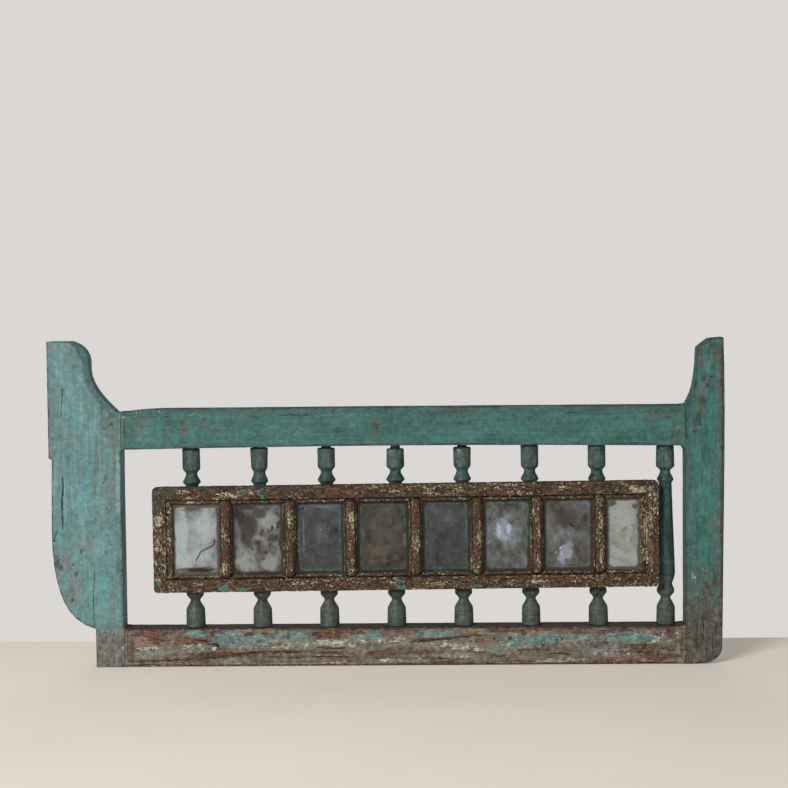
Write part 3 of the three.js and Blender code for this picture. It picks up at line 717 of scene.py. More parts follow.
LEFT_POST_MARKS = {
    "mauve": [
        (67, 358, 5, 4), (58, 386, 3, 7), (61, 394, 2, 3), (114, 613, 3, 5), (50, 350, 4, 10, 0.6),
        (70, 440, 8, 14, 0.45), (84, 540, 9, 16, 0.5), (105, 515, 8, 12, 0.4), (108, 640, 8, 8, 0.8),
        (104, 655, 8, 8, 0.8), (60, 430, 6, 16, 0.4), (92, 400, 6, 14, 0.4), (75, 585, 14, 30, 0.55),
        (64, 562, 8, 16, 0.6), (112, 600, 8, 30, 0.4), (108, 500, 10, 30, 0.35), (52, 440, 3, 40, 0.5),
    ],
    "bright": [
        (86, 486, 5, 18, 0.7), (104, 592, 8, 20, 0.8), (56, 367, 2, 5, 0.9), (88, 590, 5, 12, 0.5),
        (75, 420, 5, 20, 0.45), (118, 620, 4, 12, 0.5), (80, 510, 6, 16, 0.4),
    ],
    "pale": [
        (65, 500, 2, 30, 0.8), (118, 482, 3, 38, 0.7), (56, 470, 4, 20, 0.5), (98, 548, 8, 14, 0.5),
        (70, 392, 8, 12, 0.4),
    ],
    "stain": [
        (117.5, 431, 2.6, 24, 0.9), (76, 366, 5, 10, 0.6), (112, 430, 10, 24, 0.85), (106, 424, 5, 12, 0.9),
        (97, 461, 3, 30, 0.7), (115, 467, 3, 14, 0.7), (94, 486, 2.5, 15, 0.9), (57, 562, 6, 12, 0.8),
        (56, 350, 5, 4, 0.4), (120, 652, 5, 12, 0.6), (73, 600, 4, 8, 0.5),
    ],
    "wood": [(56, 561, 3, 6, 0.5), (105, 650, 9, 14, 0.38), (112, 660, 10, 5, 0.5), (100, 636, 4, 6, 0.4)],
    "grime_and_shade": [
        (112, 426, 4, 6, 0.5), (57, 564, 3.4, 6, 0.8), (62, 568, 3, 4, 0.6), (105, 478, 2, 6, 0.5),
        (81, 552, 2, 3, 0.7), (76, 574, 2, 4, 0.7), (73, 600, 1.5, 3, 0.7), (73, 565, 1.2, 1.5, 0.8),
    ],
    "cream_and_reflection": [
        (55.7, 343.3, 1, 0.8), (59, 343.3, 1, 0.8), (68, 343.8, 1.2, 0.8), (56, 366, 0.8, 4, 0.7),
        (114, 436.5, 1, 1), (111, 411, 1.2, 1), (61, 557.4, 2.6, 0.8, 0.8), (65.5, 557, 2, 0.9),
        (72, 555.8, 1.8, 0.8), (75, 556.5, 0.8, 0.8), (115.8, 553, 1, 1), (121, 582, 1.5, 0.8),
        (118, 584, 0.8, 1.6), (123.2, 647.5, 1.4, 2),
    ],
    "cracks": [
        (1.3, 2.0, [(62.3, 389), (62, 399), (61, 417)]),
        (2.4, 3.6, [(62.9, 478), (63.1, 486), (62.8, 493), (61.8, 500), (62, 511), (62.5, 518),
                    (62.6, 529)]),
        (1.8, 2.5, [(57.3, 531), (55.5, 536), (54, 541.5)]),
        (0.9, 1.2, [(94.5, 573.5), (93.5, 594), (93.3, 608), (94.7, 628.5)]),
        (2.0, 1.5, [(104.5, 481), (103, 484)]), (1.8, 1.5, [(77.5, 572), (76, 576.5)]),
        (1.6, 1.2, [(74, 599), (72, 602)]),
    ],
    "holes": [
        (111.5, 424.2, 2.2, 2.5), (104.5, 429, 1.8, 2), (109, 426, 1.6, 1.5), (115.5, 430, 1.6, 1.5),
        (53.8, 541, 2.4, 3), (106.5, 476, 1.8, 2), (56.3, 556.5, 1.8, 2), (59, 561, 2.0, 2),
        (61.5, 566.5, 2.0, 2), (60.3, 569, 1.6, 2), (54.5, 565, 1.6, 1.5), (82, 549.5, 1.8, 1.5),
        (80, 554, 1.4, 1.2), (73, 565.5, 1.5, 1.2),
    ],
}

RIGHT_POST_MARKS = {
    "mauve": [
        (699, 358, 6, 14, 0.8), (705, 384, 4, 10, 0.8), (694, 560, 4, 18, 0.5), (712, 470, 6, 10, 0.4),
        (718, 610, 6, 14, 0.5), (700, 650, 8, 10, 0.7), (712, 520, 6, 12, 0.4), (720, 440, 4, 60, 0.6),
        (719, 540, 5, 60, 0.7), (721, 380, 4, 34, 0.7), (702, 346, 8, 6, 0.6), (714, 355, 5, 10, 0.5),
        (700, 400, 5, 20, 0.7), (690, 500, 3, 40, 0.5), (692, 600, 6, 30, 0.5),
    ],
    "bright": [
        (712, 410, 5, 20, 0.75), (707, 500, 6, 20, 0.6), (703, 550, 6, 18, 0.5), (712, 436, 4, 12, 0.6),
        (698, 460, 5, 12, 0.6),
    ],
    "pale": [(708, 366, 6, 8, 0.5), (698, 600, 5, 10, 0.5), (707, 470, 4, 14, 0.3)],
    "stain": [
        (700, 406, 4, 14, 0.8), (700, 352, 5, 6, 0.7), (694, 428, 2, 12, 0.6), (708, 590, 8, 14, 0.6),
        (703, 625, 9, 14, 0.8), (714, 645, 6, 10, 0.8), (716, 350, 5, 8, 0.6), (697, 580, 4, 20, 0.5),
        (689, 470, 2, 50, 0.5),
    ],
    "wood": [
        (723, 370, 3, 36, 0.8), (723, 440, 2.4, 44, 0.7), (723, 520, 2.6, 48, 0.75),
        (722, 600, 3.4, 40, 0.85), (712, 337, 9, 2, 0.8), (704, 640, 10, 12, 0.4), (708, 656, 12, 6, 0.5),
        (696, 350, 2, 5, 0.7), (706.5, 585, 4, 5, 0.7), (688, 600, 3, 30, 0.4), (717, 575, 3, 20, 0.5),
    ],
    "grime_and_shade": [
        (703.5, 379, 3, 3.4, 0.8), (708, 385, 2.6, 3, 0.8), (704, 402, 4, 7, 0.6), (698, 419, 4, 8, 0.7),
        (712, 346, 3, 2, 0.6), (694.5, 372, 2.2, 28, 0.75), (701, 424, 1.6, 1.6, 0.8),
        (694.5, 431.5, 1.4, 1.6, 0.8), (696, 640, 6, 12, 0.5), (714, 660, 8, 4, 0.5), (716, 630, 3, 8, 0.5),
    ],
    "cream_and_reflection": [
        (710, 469, 1.1, 1.1), (721, 367, 0.9, 1.4), (711, 375, 0.8, 0.8), (722, 404, 0.7, 2, 0.8),
        (721.5, 452, 0.7, 3, 0.7), (722, 560, 0.7, 3, 0.7), (700, 341, 1.2, 0.8, 0.7),
        (706, 600, 1, 1, 0.8), (699, 578, 11, 22, 0.52), (710, 600, 10, 22, 0.52), (694, 602, 8, 16, 0.48),
        (704, 627, 14, 12, 0.45), (713, 647, 9, 7, 0.5), (700, 358, 8, 14, 0.4),
    ],
    "cracks": [
        (1.5, 1.2, [(703, 612), (703.4, 640)]), (1.6, 1.4, [(713, 632), (713.4, 658)]),
        (1.4, 1.4, [(697, 622), (697.3, 652)]),
    ],
    "holes": [
        (712, 376.5, 3.0, 3.5), (701, 424, 1.6, 1.5), (694.5, 431.5, 1.5, 1.5), (706.5, 588, 1.8, 1.5),
        (703, 378, 1.5, 1.2),
    ],
}

TOP_RAIL_MARKS = {
    "pale": [
        (121.6, 430, 1.2, 24, 1.2), (142, 431, 10, 13, 0.6), (155, 440, 8, 7, 0.4), (230, 440, 22, 6, 0.35),
        (300, 430, 26, 4, 0.35), (273, 427, 10, 3, 0.6), (425, 430, 18, 5, 0.4), (470, 436, 18, 6, 0.3),
        (560, 440, 20, 4, 0.35), (652, 436, 8, 6, 0.35), (217, 420, 4, 3, 0.7),
    ],
    "bright": [
        (160, 432, 5, 14, 0.6), (175, 438, 5, 10, 0.6), (190, 438, 8, 10, 0.5), (252, 432, 14, 8, 0.45),
        (287, 442, 24, 5, 0.4), (440, 440, 20, 6, 0.4), (520, 428, 12, 4, 0.5), (415, 424, 8, 5, 0.4),
        (545, 443, 30, 3, 0.5), (640, 441, 8, 4, 0.4), (665, 427, 6, 8, 0.4), (320, 444, 20, 3, 0.4),
    ],
    "mauve": [
        (141, 429, 5, 9, 0.7), (183, 430, 4, 12, 0.85), (190, 422, 9, 4, 0.6), (205, 426, 9, 6, 0.5),
        (142, 416.5, 5, 2.5, 0.8), (240, 421, 8, 4, 0.4), (225, 415, 14, 4, 0.4), (250, 412, 10, 3, 0.5),
        (270, 411, 12, 3, 0.5), (340, 410, 16, 3, 0.4), (480, 414, 14, 4, 0.4), (655, 414, 14, 5, 0.5),
        (555, 412, 8, 4, 0.4), (195, 443, 6, 4, 0.5), (167, 424, 6, 6, 0.4),
    ],
    "stain": [
        (131, 432, 2, 15, 0.9), (165, 436, 3, 15, 0.7), (125, 430, 2.5, 16, 0.8), (216, 430, 5, 3.5, 0.9),
        (195, 411, 14, 3, 0.6), (142, 417, 5, 2.5, 0.8), (150, 415, 26, 3, 0.5), (325, 431, 8, 4, 0.4),
        (375, 424, 6, 5, 0.95), (376, 434, 4, 3, 0.9), (460, 412, 7, 4, 0.95), (473, 407, 10, 2, 0.9),
        (446, 431, 6, 4, 0.4), (620, 408, 34, 3.5, 0.75), (595, 406, 30, 2, 0.7), (650, 421, 12, 5, 0.6),
        (674, 430, 3, 14, 0.8), (681, 432, 3, 14, 0.8), (676, 441, 8, 4, 0.7), (520, 408, 16, 3, 0.6),
        (440, 409, 40, 2.5, 0.5), (330, 408, 40, 2.5, 0.5), (655, 412, 20, 5, 0.6), (240, 409, 30, 3, 0.6),
        (345, 427, 7, 2, 0.5),
    ],
    "wood": [
        (375.5, 424, 3.5, 3.5, 0.75), (375.7, 432.5, 2.4, 2.6, 0.75), (456, 410.5, 5, 1.8, 0.7),
        (460, 415, 3, 3, 0.7), (472, 406.5, 8, 1.4, 0.7), (182, 424, 2.5, 5, 0.55), (183, 434, 1.6, 6, 0.6),
        (680, 413, 4, 2.5, 0.7), (666, 417, 6, 1.2, 0.7), (684, 428, 2, 12, 0.6), (216, 430, 3, 2, 0.5),
        (143, 416.8, 4, 1.5, 0.5), (232, 403.5, 20, 1.2, 0.5), (121, 412, 3, 2.5, 0.7),
    ],
    "grime_and_shade": [
        (124, 425, 1.5, 22, 0.6), (170, 424, 8, 7, 0.5), (205, 419, 6, 3, 0.6), (165, 417, 9, 2, 0.7),
        (190, 420, 8, 3, 0.5), (295, 415, 26, 1.6, 0.7), (390, 414, 30, 2, 0.4), (520, 431, 5, 3, 0.4),
        (560, 420, 10, 4, 0.3), (430, 416, 16, 3, 0.5), (610, 414, 24, 1.6, 0.5), (686, 414, 2, 10, 0.8),
        (672, 434, 2, 5, 0.7), (678, 434, 1.2, 6, 0.8), (360, 445, 30, 1.5, 0.4), (640, 443, 24, 1.6, 0.5),
    ],
    "cream_and_reflection": [
        (159, 411.3, 1.6, 1.4), (190.5, 415, 2.4, 1.4, 0.7), (193, 413.8, 1, 2), (123.2, 417.4, 2.6, 1.8),
        (230, 407.8, 0.8, 1), (242, 415, 1.8, 0.9, 0.6), (239, 416.5, 1.4, 0.8, 0.8),
        (225, 411.8, 1.6, 1, 0.6), (140, 412.5, 0.9, 0.8), (136, 413, 0.9, 0.7), (134, 416.4, 2, 0.6, 0.8),
        (169, 417, 1, 0.8), (131, 449, 2, 0.7, 0.8), (122, 426, 0.6, 6, 0.7), (305, 407.8, 2, 0.8, 0.9),
        (327, 408, 1.6, 0.7, 0.9), (375, 412, 0.9, 1.2, 0.8), (374, 427.2, 1, 0.7), (469.5, 409, 0.7, 1.4),
        (470.5, 412.5, 0.9, 0.9), (458, 411.5, 1.8, 0.7, 0.7), (343, 430.3, 3, 0.5, 0.5),
        (615, 444, 4, 0.6, 0.6),
    ],
    "cracks": [
        (1.6, 1.2, [(336, 432.5), (343, 431.8), (346, 430.2)]),
        (1.0, 0.5, [(280, 414.8), (296, 415), (316, 413.2)]),
        (1.2, 0.8, [(564, 412), (576, 412.4), (584, 412)]), (1.1, 0.7, [(466, 422), (472, 421.6)]),
    ],
    "holes": [
        (373.6, 428.5, 1.9, 2.5), (377.0, 428.4, 1.9, 2.5), (468.8, 410.8, 1.8, 1.8),
        (211.5, 445, 1.6, 1.2), (638.7, 433.4, 1.8, 2), (552, 420, 1.5, 1.2), (423, 425, 1.3, 1),
        (444, 424, 1.4, 1), (672.5, 435.5, 1.4, 1.2), (590, 413.4, 1.6, 1.2), (302.5, 428, 1.2, 0.8),
        (166, 416.5, 1.6, 1.2), (176, 426, 1.4, 1),
    ],
}

BOTTOM_RAIL_MARKS = {
    "wood": [
        (148, 634.5, 22, 3.5, 0.85), (152, 641, 26, 6, 0.45), (190, 641, 16, 4, 0.8),
        (212.5, 634, 3, 3.5, 0.85), (250, 634.5, 9, 2.6, 0.9), (265, 634, 5, 2.4, 0.8),
        (330, 633.5, 16, 4.5, 1.0), (355, 631.5, 12, 4, 0.8), (406, 631.5, 6, 4, 0.8),
        (180, 662, 52, 2.5, 0.6), (235, 654.5, 38, 3.2, 0.95), (285, 652.5, 20, 2.2, 0.95),
        (330, 657, 28, 3.5, 0.65), (380, 654, 18, 3.6, 0.9), (400, 664, 20, 2.2, 0.95),
        (422, 652.5, 13, 2.6, 0.9), (450, 663, 42, 2.6, 0.85), (430, 639.5, 22, 1.8, 0.85),
        (505, 630.5, 24, 3, 0.6), (540, 628, 20, 3.6, 0.8), (524, 634, 4, 4, 0.7), (572, 628, 26, 2.2, 0.7),
        (580, 632, 12, 3, 0.5), (671, 633.5, 7, 6, 0.75), (640, 646.5, 22, 3, 0.7), (660, 656, 24, 6, 0.65),
        (615, 661, 26, 2.6, 0.75), (604, 642, 5, 4, 0.5), (345, 664.5, 12, 1.8, 0.8),
        (132, 648, 3, 18, 0.5), (480, 641, 5, 4, 0.6), (505, 657, 20, 2.2, 0.5), (668, 647, 12, 5, 0.5),
        (205, 656, 22, 2.4, 0.5), (468, 633, 14, 2.6, 0.5),
    ],
    "bright": [
        (195, 634, 13, 4.5, 0.75), (230, 639, 30, 8, 0.75), (262, 640, 26, 6.5, 0.7),
        (224, 638, 8, 7.5, 0.3), (277, 638.5, 12, 7, 0.45), (296, 636, 16, 5, 0.85), (310, 636, 8, 5, 0.5),
        (340, 629.4, 4, 1.4, 0.6), (376, 635, 10, 4.5, 0.9), (371, 638.5, 7, 2, 1.0), (358, 637, 6, 3, 0.8),
        (434, 633, 20, 4, 0.95), (421, 634.6, 5, 2, 1.0), (505, 642, 16, 7, 0.6), (514, 641, 8, 4, 0.95),
        (541, 638, 14, 5.5, 1.0), (556, 638, 13, 6, 0.85), (588, 640, 18, 5, 0.55), (626, 636, 24, 5, 0.95),
        (640, 636, 16, 6, 0.75), (652, 638, 10, 6, 0.7), (677, 632, 3, 3, 0.6), (245, 663, 22, 2.4, 0.5),
        (290, 663.5, 20, 2, 0.4), (605, 636, 8, 4, 0.7), (500, 650, 12, 4, 0.4), (374, 648.5, 16, 2.4, 0.5),
    ],
    "cream_and_reflection": [
        (148, 648.5, 16, 1.8, 0.8), (155, 652.5, 20, 3.4, 0.4), (193, 647.5, 18, 4.5, 0.55),
        (199, 644.8, 5, 2, 0.9), (214.5, 648.5, 4, 3, 0.95), (210, 643, 5, 1.2, 0.8),
        (245, 647.8, 24, 2.4, 0.55), (285, 647, 20, 2.6, 0.6), (306, 646, 4, 4.5, 0.8),
        (325, 642.5, 12, 4.5, 0.75), (340, 643.5, 12, 5, 0.75), (353, 645.8, 6, 2.4, 0.85),
        (362, 641, 8, 4, 0.65), (388, 641, 22, 2.8, 0.55), (400, 638, 10, 2.2, 0.7),
        (455, 646.5, 26, 4.6, 0.6), (462, 648, 14, 2.6, 0.85), (478, 650, 8, 2.2, 0.75),
        (445, 641.5, 14, 2, 0.6), (418, 658, 5, 2.6, 0.7), (455, 656, 30, 3, 0.42),
        (384, 659.5, 9, 2.4, 0.7), (340, 663.5, 34, 2, 0.55), (360, 661.5, 10, 1.4, 0.5),
        (240, 663, 20, 2.4, 0.4), (285, 664, 20, 1.8, 0.5), (155, 665.6, 26, 0.9, 0.7),
        (140, 661, 10, 1, 0.4), (530, 652, 24, 3, 0.4), (560, 660, 32, 4, 0.55),
        (595.5, 654, 1.6, 1.2, 1.0), (628.6, 654.7, 1.6, 1.4, 1.0), (610, 652, 24, 4, 0.42),
        (655, 639, 6, 5, 0.7), (662.5, 634.5, 1.6, 1.2, 1.0), (677, 636, 3, 4, 0.6),
        (648, 643.5, 8, 1, 0.7), (530, 647, 24, 2, 0.5), (508, 645, 4, 3, 0.8), (440, 636.5, 12, 1.4, 0.6),
        (172.5, 629.4, 1, 1, 0.9), (300, 654, 30, 0.8, 0.5), (330, 655.5, 24, 0.7, 0.5),
        (476, 629.5, 12, 0.8, 0.4), (672, 640, 4, 2, 0.5),
    ],
    "mauve": [
        (150, 641, 24, 7, 0.7), (175, 632, 8, 2, 0.6), (188, 656, 14, 2, 0.7), (165, 663, 36, 3, 0.7),
        (470, 630.5, 14, 2, 0.8), (230, 659.5, 18, 1.6, 0.5), (310, 659, 40, 2.4, 0.45),
        (520, 657.5, 22, 2.4, 0.5), (655, 655, 30, 6, 0.5), (460, 638, 30, 2, 0.4),
    ],
    "pale": [
        (155, 653, 22, 3.6, 0.8), (240, 661, 20, 3, 0.6), (300, 664, 40, 2, 0.6), (375, 649, 16, 3, 0.6),
        (600, 650, 30, 5, 0.6), (500, 650, 24, 5, 0.7), (560, 660, 30, 4, 0.6), (450, 656, 30, 3, 0.5),
        (578, 638, 16, 5, 0.6), (240, 638, 26, 9, 0.75), (292, 637, 26, 8, 0.7), (196, 634, 14, 5, 0.7),
        (366, 638, 22, 6, 0.6), (436, 634, 22, 5, 0.6), (520, 641, 30, 8, 0.7), (628, 638, 30, 7, 0.75),
        (195, 649, 26, 5, 0.6), (320, 645, 40, 4, 0.5), (666, 642, 10, 8, 0.5), (385, 661, 26, 3, 0.5),
    ],
    "grime_and_shade": [
        (288, 636, 2.4, 6, 0.7), (243, 634, 2, 4, 0.5), (494, 639, 1.4, 3, 0.9), (510, 638.5, 4, 2.6, 0.8),
        (556.6, 641, 1, 4, 1.0), (562, 639.5, 1.2, 3.4, 1.0), (400, 629.5, 12, 2.4, 0.5),
        (170, 631.5, 8, 2.2, 0.5), (207, 641.5, 8, 1.2, 0.9), (216.5, 645, 4, 2, 0.9),
        (462, 637.5, 26, 1, 0.8), (265, 651.5, 26, 1.4, 0.8), (332, 648.2, 14, 0.8, 0.9),
        (330, 652.8, 22, 0.9, 0.8), (562, 653.5, 12, 1.2, 0.9), (596, 647.2, 6, 0.9, 0.8),
        (420, 641.5, 12, 1.4, 0.8), (640, 629, 30, 1.4, 0.4), (240, 628.8, 110, 1.2, 0.5),
        (500, 627.2, 90, 1.2, 0.5), (430, 657, 18, 1.6, 0.6), (490, 657, 4, 3, 0.5),
        (642, 652, 14, 1.6, 0.5), (682, 645, 2, 18, 0.7), (127.5, 648, 1, 20, 0.6),
    ],
    "cracks": [
        (2.1, 2.2, [(196, 640), (205, 641), (209, 644), (214, 643.4), (219, 648), (222, 650)]),
        (2.0, 2.2, [(129, 661.2), (159, 660.8), (186, 659.8), (214, 658), (240, 656)]),
        (1.6, 1.4, [(127, 666.2), (150, 664.6), (176, 664.6)]),
        (2.2, 1.8, [(222, 656), (240, 654.5), (266, 652)]),
        (2.0, 1.8, [(266, 651.4), (286, 652), (306, 651.8)]),
        (1.6, 1.4, [(316, 647), (330, 648.6), (346, 648.2)]),
        (1.5, 1.2, [(306, 652.2), (326, 652.6), (345, 652)]),
        (1.3, 1.0, [(300, 656), (322, 656.5), (346, 655.8)]),
        (2.0, 1.6, [(410, 642.5), (420, 641), (447, 639.2), (462, 636.6), (488, 634.4)]),
        (1.3, 1.0, [(268, 657.4), (290, 658), (305, 657.4)]),
        (1.6, 1.4, [(549, 654.2), (560, 653.6), (572, 655)]), (1.5, 1.4, [(590, 648), (601, 646.2)]),
        (1.3, 1.0, [(600, 631), (616, 630.2), (634, 630.8)]),
        (1.3, 1.0, [(430, 659.8), (452, 658.6), (470, 659.4)]), (1.4, 1.2, [(637, 652.6), (660, 652.2)]),
        (1.3, 1.0, [(505, 660.5), (535, 661)]),
    ],
    "holes": [
        (212.8, 635.4, 1.4, 1.2), (193, 641.5, 1.6, 1.4), (186, 643, 1.4, 1.2), (218, 646.6, 2.0, 2),
        (203, 637, 1.2, 1), (556.6, 640, 1.3, 1.6), (556.8, 643.6, 1.2, 1.4), (562, 639, 1.4, 1.6),
        (649.5, 628.6, 1.4, 1), (661.6, 632.4, 1.8, 1.6), (662.4, 628.8, 1.4, 1.2), (513.4, 639, 1.4, 1.2),
        (420, 642, 1.8, 1.4), (596, 646.6, 1.4, 1.2), (634, 656.6, 1.4, 1.2), (600, 652, 1.2, 1),
        (544, 660, 1.2, 1), (549, 659.6, 1.2, 1), (545, 626.5, 1.6, 1.2), (564, 626.6, 1.6, 1.2),
        (432, 651, 1.4, 1.2),
    ],
}

FRAME_MARKS = {
    "cream_and_reflection": [
        (158, 522, 4, 7), (157, 546, 4, 8), (157, 566, 4, 5, 0.7), (182, 491.5, 9, 3, 0.9),
        (225, 495, 11, 3, 0.8), (641, 490, 12, 4, 0.9), (640, 500, 6, 4, 0.7), (300, 494, 12, 2, 0.5),
        (360, 492, 9, 2, 0.5), (430, 493, 12, 2, 0.5), (510, 491, 14, 2, 0.5), (575, 491, 10, 2, 0.5),
        (200, 584, 10, 2.4, 0.6), (300, 583, 16, 2.4, 0.6), (360, 584, 10, 2.4, 0.6),
        (450, 583, 14, 2.4, 0.6), (540, 581, 16, 2.4, 0.6), (610, 579, 12, 2.4, 0.7), (650, 520, 3, 9, 0.7),
        (652, 560, 3, 8, 0.7), (158, 580, 4, 3, 0.9), (645.5, 535, 2, 32, 1.0), (448, 583.5, 22, 3, 0.7),
        (482, 580, 20, 2, 0.6), (172, 583, 7, 3, 0.7),
    ],
    "grime_and_shade": [(158, 497, 9, 9, 1.0), (168, 493, 8, 4, 0.7), (157, 511, 5, 5, 0.5)],
    "bright": [
        (158, 583, 3.6, 4, 0.9), (243, 491, 5.5, 2.6), (261, 492.5, 5, 5), (262.5, 500, 2.4, 6),
        (224.5, 588.5, 7.5, 4.6), (242.5, 589.5, 6.5, 3), (268, 589, 4, 2.4, 0.8),
        (194, 576.5, 4, 1.6, 0.8), (401, 586.5, 5.5, 5), (187, 490, 4, 1.6, 0.7), (320, 489, 4, 1, 0.5),
        (566, 489, 3, 1, 0.5), (478, 586, 6, 3, 0.8), (600, 485, 5, 4, 0.6), (253, 488.5, 8, 1.2, 0.6),
    ],
    "stain": [(650, 545, 4, 10, 0.9), (480, 493, 12, 3, 0.5), (330, 587, 14, 3, 0.5)],
    "holes": [
        (401, 584, 2.2, 2), (268, 494, 1.6, 1.2), (526, 491, 1.6, 1.2), (214, 586, 1.4, 1.2),
        (588, 582, 1.4, 1.2),
    ],
}

MULLION_MARKS = {
    "bright": [
        (222, 546, 2, 6), (298, 535, 2, 24, 0.9), (225, 520, 1.6, 6, 0.6), (352, 536, 1.4, 10, 0.5),
        (476, 520, 1.2, 10, 0.5), (602, 540, 1.4, 10, 0.6),
    ],
    "cream_and_reflection": [
        (224, 566, 5, 7, 0.9), (222, 530, 3, 8, 0.6), (290, 520, 3, 10, 0.4), (353, 520, 4, 12, 0.7),
        (354, 560, 3, 8, 0.7), (417, 540, 3, 14, 0.7), (479, 530, 3, 12, 0.7), (479, 562, 3, 6, 0.6),
        (538, 525, 3, 12, 0.7), (538, 558, 3, 8, 0.6), (600, 520, 3, 10, 0.7), (600, 555, 3, 8, 0.7),
    ],
}

PANE_MARKS = {
    "pale": [
        (181, 536, 8, 30, 1.0), (184, 560, 11, 9, 0.8), (204, 528, 10, 20, 0.6), (200, 556, 12, 10, 0.7),
        (269, 521, 10, 9, 0.9), (245, 563, 8, 11, 1.0), (270, 562, 9, 11, 1.0), (258, 540, 8, 6, 0.7),
        (320, 532, 12, 14, 0.6), (384, 532, 10, 8, 0.5), (451, 517, 5, 9, 0.5), (622, 520, 10, 14, 0.8),
        (617, 552, 8, 8, 0.7), (509, 535, 14, 18, 0.4), (566, 540, 12, 14, 0.3),
    ],
    # Painted reflections: bluish-white highlights and glints on the glass.
    "cream_and_reflection": [
        (498.5, 530, 3.2, 10, 0.85), (508.5, 529, 3.4, 8, 0.7), (503, 532, 11, 13, 0.5),
        (566, 552, 8, 9, 0.6), (570, 545, 6, 6, 0.35), (561, 559, 5, 2.4, 0.4), (629, 532, 4, 9, 0.42),
        (556, 552, 0.9, 0.9, 1.2), (560.5, 548, 0.9, 0.9, 1.2), (561.5, 553, 0.8, 0.8, 1.1),
        (321, 530, 1, 1, 0.9), (303.5, 540, 1.0, 34, 0.5), (322, 507, 16, 1.2, 0.5),
        (363, 530, 1.0, 26, 0.4), (427.5, 535, 1.0, 34, 0.4),
    ],
    "mauve": [
        (249, 528, 9, 20, 1.0), (260, 513, 9, 6, 0.9), (258, 543, 7, 5, 0.6), (566, 518, 14, 10, 0.7),
        (312, 530, 6, 20, 0.5), (272, 538, 6, 5, 0.8), (258, 574, 8, 3, 0.8),
    ],
    "stain": [
        (381, 550, 14, 9, 0.7), (513, 511, 6, 6, 0.5), (522, 519, 7, 7, 0.5), (520, 545, 5, 5, 0.5),
        (525, 552, 3, 4, 0.5), (575, 561, 5, 4, 0.8), (372, 524, 8, 8, 0.4), (606, 533, 3, 8, 0.5),
        (628, 563, 7, 1.5, 0.3), (606, 536, 4, 2.4, 0.4), (610, 539.5, 4, 2.4, 0.4),
        (614, 543, 4, 2.4, 0.4), (618, 546.5, 4, 2.4, 0.4), (622, 549.5, 4, 2.4, 0.35),
        (627, 552, 5, 2.4, 0.35), (607, 553, 4, 2, 0.35), (612, 556, 4, 2, 0.35), (617, 558.5, 5, 2, 0.35),
        (624, 560.5, 5, 2, 0.3), (370, 545, 3, 3, 0.7), (379, 554, 4, 3, 0.8), (389, 547, 4, 4, 0.7),
        (396, 556, 3, 3, 0.7), (372, 562, 5, 3, 0.5), (385, 561, 6, 3, 0.6), (399, 545, 3, 3, 0.5),
        (390, 522, 4, 5, 0.5), (190, 510, 10, 3, 0.6), (196, 534, 6, 6, 0.3),
    ],
    "grime_and_shade": [
        (611, 503, 5, 4.5, 1.2), (635, 506, 3, 3, 1.2), (194, 509, 10, 2.4, 0.6), (596, 510, 5, 6, 0.7),
        (300, 506, 6, 5, 0.6), (259, 543, 3, 3, 0.7), (247, 507, 12, 3, 0.8), (640, 560, 3, 6, 0.8),
        (196, 569.5, 22, 3, 0.9), (194, 506, 24, 2.4, 0.9), (638, 517, 1.6, 6, 0.9),
        (639, 546, 1.6, 8, 0.8), (606, 520, 1.4, 14, 0.6), (272, 528, 2, 3, 0.8), (276, 537, 2, 4, 0.7),
        (250, 560, 2, 3, 0.5), (240, 520, 3, 12, 0.6), (262, 573, 6, 2, 0.8), (262, 531, 2, 2, 0.7),
        (270, 545, 2, 3, 0.7), (252, 549, 2, 2, 0.6), (278, 525, 2, 5, 0.6), (266, 552, 2, 2, 0.6),
        (243, 538, 2, 6, 0.5), (280, 540, 1.5, 14, 0.6), (639.5, 521, 1.6, 8, 1.0), (640, 535, 1.5, 5, 0.8),
        (638.5, 552, 2, 7, 0.9), (640, 566, 2, 5, 0.8), (214, 540.5, 1.8, 2.4, 0.7), (606, 560, 2, 5, 0.5),
    ],
    "wood": [(201, 570.5, 16, 2.6, 1.0), (252, 527, 5, 14, 0.5)],
    "edge": [
        (339.5, 522, 1.4, 20, 0.95), (338, 506, 5, 1.4, 0.8), (341, 560, 1.2, 20, 0.7),
        (466.5, 540, 1.4, 34, 0.85), (466, 556, 1.6, 8, 1.0), (298.6, 540, 1.6, 26, 0.7),
        (235, 545, 1.2, 10, 0.6), (527.5, 520, 1.2, 20, 0.8), (404.5, 530, 1.2, 30, 0.7),
        (325, 573.5, 16, 1.2, 0.8), (445, 571.5, 16, 1, 0.7),
    ],
    "cracks": [
        (1.3, 0.3, [(216, 541), (213, 546), (206, 548.6), (201, 552), (196, 561)]),
        (2.2, 0.2, [(569, 523.4), (571, 525.6), (575, 527)]),
    ],
}

